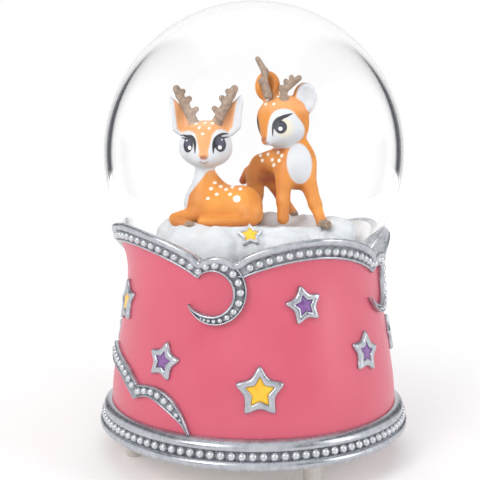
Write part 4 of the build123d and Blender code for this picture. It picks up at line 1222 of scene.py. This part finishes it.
STANDING_PATCH = [(3.9, 100.4), (4.6, 104.0), (4.9, 107.4), (6.1, 111.0), (8.7, 112.7),
                  (12.3, 112.5), (14.7, 110.3), (17.2, 106.8), (16.8, 103.8), (14.6, 101.9),
                  (11.0, 99.6), (6.4, 99.4)]
STANDING_LASHES = [
    ([(13.1, 111.3), (11.7, 110.7), (9.6, 110.1), (7.6, 109.0), (6.6, 107.0), (6.4, 103.7)],
     [0.16, 0.4, 0.42, 0.5, 0.42, 0.16]),
    ([(11.6, 110.2), (9.4, 109.3), (7.6, 108.0)], [0.12, 0.3, 0.5]),
]
STANDING_FAR_EYE = ([(0.9, 112.0), (1.4, 109.4), (2.1, 106.0)], [0.2, 0.36, 0.2])
STANDING_HOOVES = [((24.6, -4.8, 74.0), (3.2, 3.6, 2.2)), ((15.4, 13.0, 77.0), (2.3, 2.8, 1.9)),
                   ((1.2, 13.0, 73.4), (3.0, 3.4, 1.8))]
STANDING_BROW = [(4.7, 116.4), (8.4, 117.5), (6.9, 114.6), (5.6, 117.8), (4.2, 114.9)]
STANDING_SHOULDER = [(2.6, 98.4), (5.2, 98.6), (8.5, 98.8), (3.2, 96.5), (6.6, 96.5), (8.8, 96.0),
                     (7.1, 94.6), (9.7, 97.6)]
EYE_PLACE = (9.1, 106.6)


def standing_paint(place):
    x, y, z = place
    head = build(place, STANDING_HEAD)
    on_head = (head < 1.2) & (z > 100.0)
    in_front = on_head & (y < 2.0)
    patch = flat_shape(x, z, smooth_line(STANDING_PATCH + [STANDING_PATCH[0]], 48)[:-1])
    chest = disc(x, z, (15.6, 94.9), (4.3, 6.9), 4)
    ear_fill = disc(x, z, (18.3, 117.4), (3.7, 5.0), 6)
    eye = union(disc(x, z, EYE_PLACE, (2.1, 2.15)), strokes(x, z, STANDING_LASHES))
    iris = np.maximum(disc(x, z, EYE_PLACE, (1.5, 1.55)), -disc(x, z, (9.05, 106.4), (1.05, 1.1)))
    belly = ball(place, (6.0, 9.0, 89.8), (4.5, 4.0, 1.6))
    tail = ball(place, (-3.9, 14.5, 90.5), (2.2, 3.0, 3.6))
    far_hind = ball(place, (9.0, 13.5, 84.5), (3.2, 3.2, 5.5))
    return {
        "white": union(only(patch, on_head & (y < 2.5)),
                       only(chest, (y < 3.5) & (z < 102.5) & (head > 0.25)),
                       only(ear_fill, (y < 2.0) & (z > 111) & (head > 0.3))),
        "brown": union(only(build(place, STANDING_ANTLERS) - ANTLER_PAINT, z > 115.0),
                       *[ball(place, *hoof) for hoof in STANDING_HOOVES]),
        "black": union(only(eye, in_front), only(stroke(x, z, *STANDING_FAR_EYE), on_head)),
        "iris": only(iris, in_front),
        "shine": only(disc(x, z, (9.0, 106.1), (0.68, 0.66)), in_front),
        "spots": union(only(dots(x, z, STANDING_BROW, (0.5, 0.45), 30), in_front),
                       only(dots(x, z, STANDING_SHOULDER, (0.52, 0.66), -12),
                            (y < 11.0) & (head > 0.6))),
        "face": np.maximum(head - 0.5, 113.0 - z),
        # painted shade under the belly and the head, on the tail and on the far hind leg
        "painted_shade": union(only(belly, z < 100), tail, only(far_hind, z < 92),
                       only(head - 1.4, (z < 100.5) & (x < 11))),
        "nose": only(discs(x, z, [((3.5, 102.7), (0.9, 0.5)), ((4.5, 101.4), (0.5, 0.22))]),
                     on_head),
        "cream": only(disc(x, z, (10.4, 106.4), (2.7, 3.0)), in_front & (patch < -0.4)),
    }


def standing_fawn():
    points, faces = sculpt(standing_shape, (-8.0, -9.0, 70.8), (27.5, 18.5, 132.5), FAWN_STEP)
    add_fawn("fawn_standing", points, faces, standing_paint, "standing_fawn")


# ---------------------------------------------------------------- floor, light and camera
FLOOR_Z = -0.02
FLOOR_RINGS = [0.01, 150.0, 1000.0, 9000.0]


def stage():
    """A wide pale floor that glows a little more further away and is clear from below."""
    points, _ = lathe([(radius, FLOOR_Z) for radius in FLOOR_RINGS], 96)
    faces = grid_faces(96, len(FLOOR_RINGS), close_columns=False)
    mesh = bpy.data.meshes.new("floor")
    mesh.from_pydata((points * MM).tolist(), [], faces[:, ::-1].tolist())
    material, tree, shader = new_material("paper")
    place = add_node(tree, "TexCoord").outputs["Object"]
    away = add_node(tree, "VectorMath", {0: place}, operation="LENGTH").outputs["Value"]
    feed(tree, shader, {
        "Base Color": ramp_node(tree, noise_node(tree, 6.0),
                                [(0.3, (0.955, 0.95, 0.95)), (0.7, (0.97, 0.97, 0.97))]),
        "Roughness": 0.9, "Specular IOR Level": 0.1, "Emission Color": (1, 1, 1, 1),
        "Emission Strength": range_node(tree, away, 0.12, 0.42, 0.15, 0.9),
    })
    from_below = add_node(tree, "NewGeometry").outputs["Backfacing"]
    shader_mix(tree, from_below, shader, add_node(tree, "BsdfTransparent"))
    mesh.materials.append(material)
    floor = bpy.data.objects.new("floor", mesh)
    bpy.context.scene.collection.objects.link(floor)


def area_light(name, place, target, size, power, colour):
    light = bpy.data.lights.new(name, "AREA")
    light.shape = "RECTANGLE"
    light.size, light.size_y = size
    light.energy = power
    light.color = colour
    lamp = bpy.data.objects.new(name, light)
    lamp.location = Vector(place)
    lamp.rotation_euler = (Vector(target) - Vector(place)).to_track_quat("-Z", "Y").to_euler()
    bpy.context.scene.collection.objects.link(lamp)


STUDIO_GREY = (0.06, 0.065, 0.08)


def lights():
    """Two soft lamps in a white studio that has a grey band at each side, seen only in
    reflections and through the glass."""
    area_light("key", (-0.34, -0.42, 0.42), (0, 0, 0.08), (0.22, 0.34), 1.35, (1.0, 0.985, 0.96))
    area_light("fill", (0.46, -0.22, 0.26), (0, 0, 0.07), (0.16, 0.42), 0.65, (0.97, 0.98, 1.0))
    world = bpy.data.worlds.new("studio")
    world.use_nodes = True
    tree = world.node_tree
    place = add_node(tree, "TexCoord").outputs["Generated"]
    across = add_node(tree, "SeparateXYZ", {"Vector": place}).outputs["X"]
    side = add_node(tree, "Math", {0: across}, operation="ABSOLUTE").outputs["Value"]
    bands = ramp_node(tree, side, [(0.0, WHITE), (0.42, WHITE), (0.50, STUDIO_GREY),
                                   (0.66, STUDIO_GREY), (0.80, WHITE), (1.0, WHITE)])
    seen = add_node(tree, "LightPath").outputs["Is Camera Ray"]
    feed(tree, tree.nodes["Background"], {"Color": mix_node(tree, seen, bands, WHITE),
                                          "Strength": 1.0})
    bpy.context.scene.world = world
    bpy.context.scene.view_settings.view_transform = "Standard"


def camera():
    data = bpy.data.cameras.new("camera")
    data.lens = 48.1
    data.sensor_width = 36.0
    data.clip_start = 0.01
    viewer = bpy.data.objects.new("camera", data)
    viewer.location = (0.0, -0.2204, 0.0806)
    viewer.rotation_euler = (math.radians(90 - 3.05), 0, math.radians(1.17))
    bpy.context.scene.collection.objects.link(viewer)
    bpy.context.scene.camera = viewer


paint_carried_nodes()
base_body()
rim_lip()
upper_bands()
lower_ring()
ribbons()
all_stars()
plastic_feet()
glass_ball()
cloud()
cloud_star()
lying_fawn()
standing_fawn()
stage()
lights()
camera()
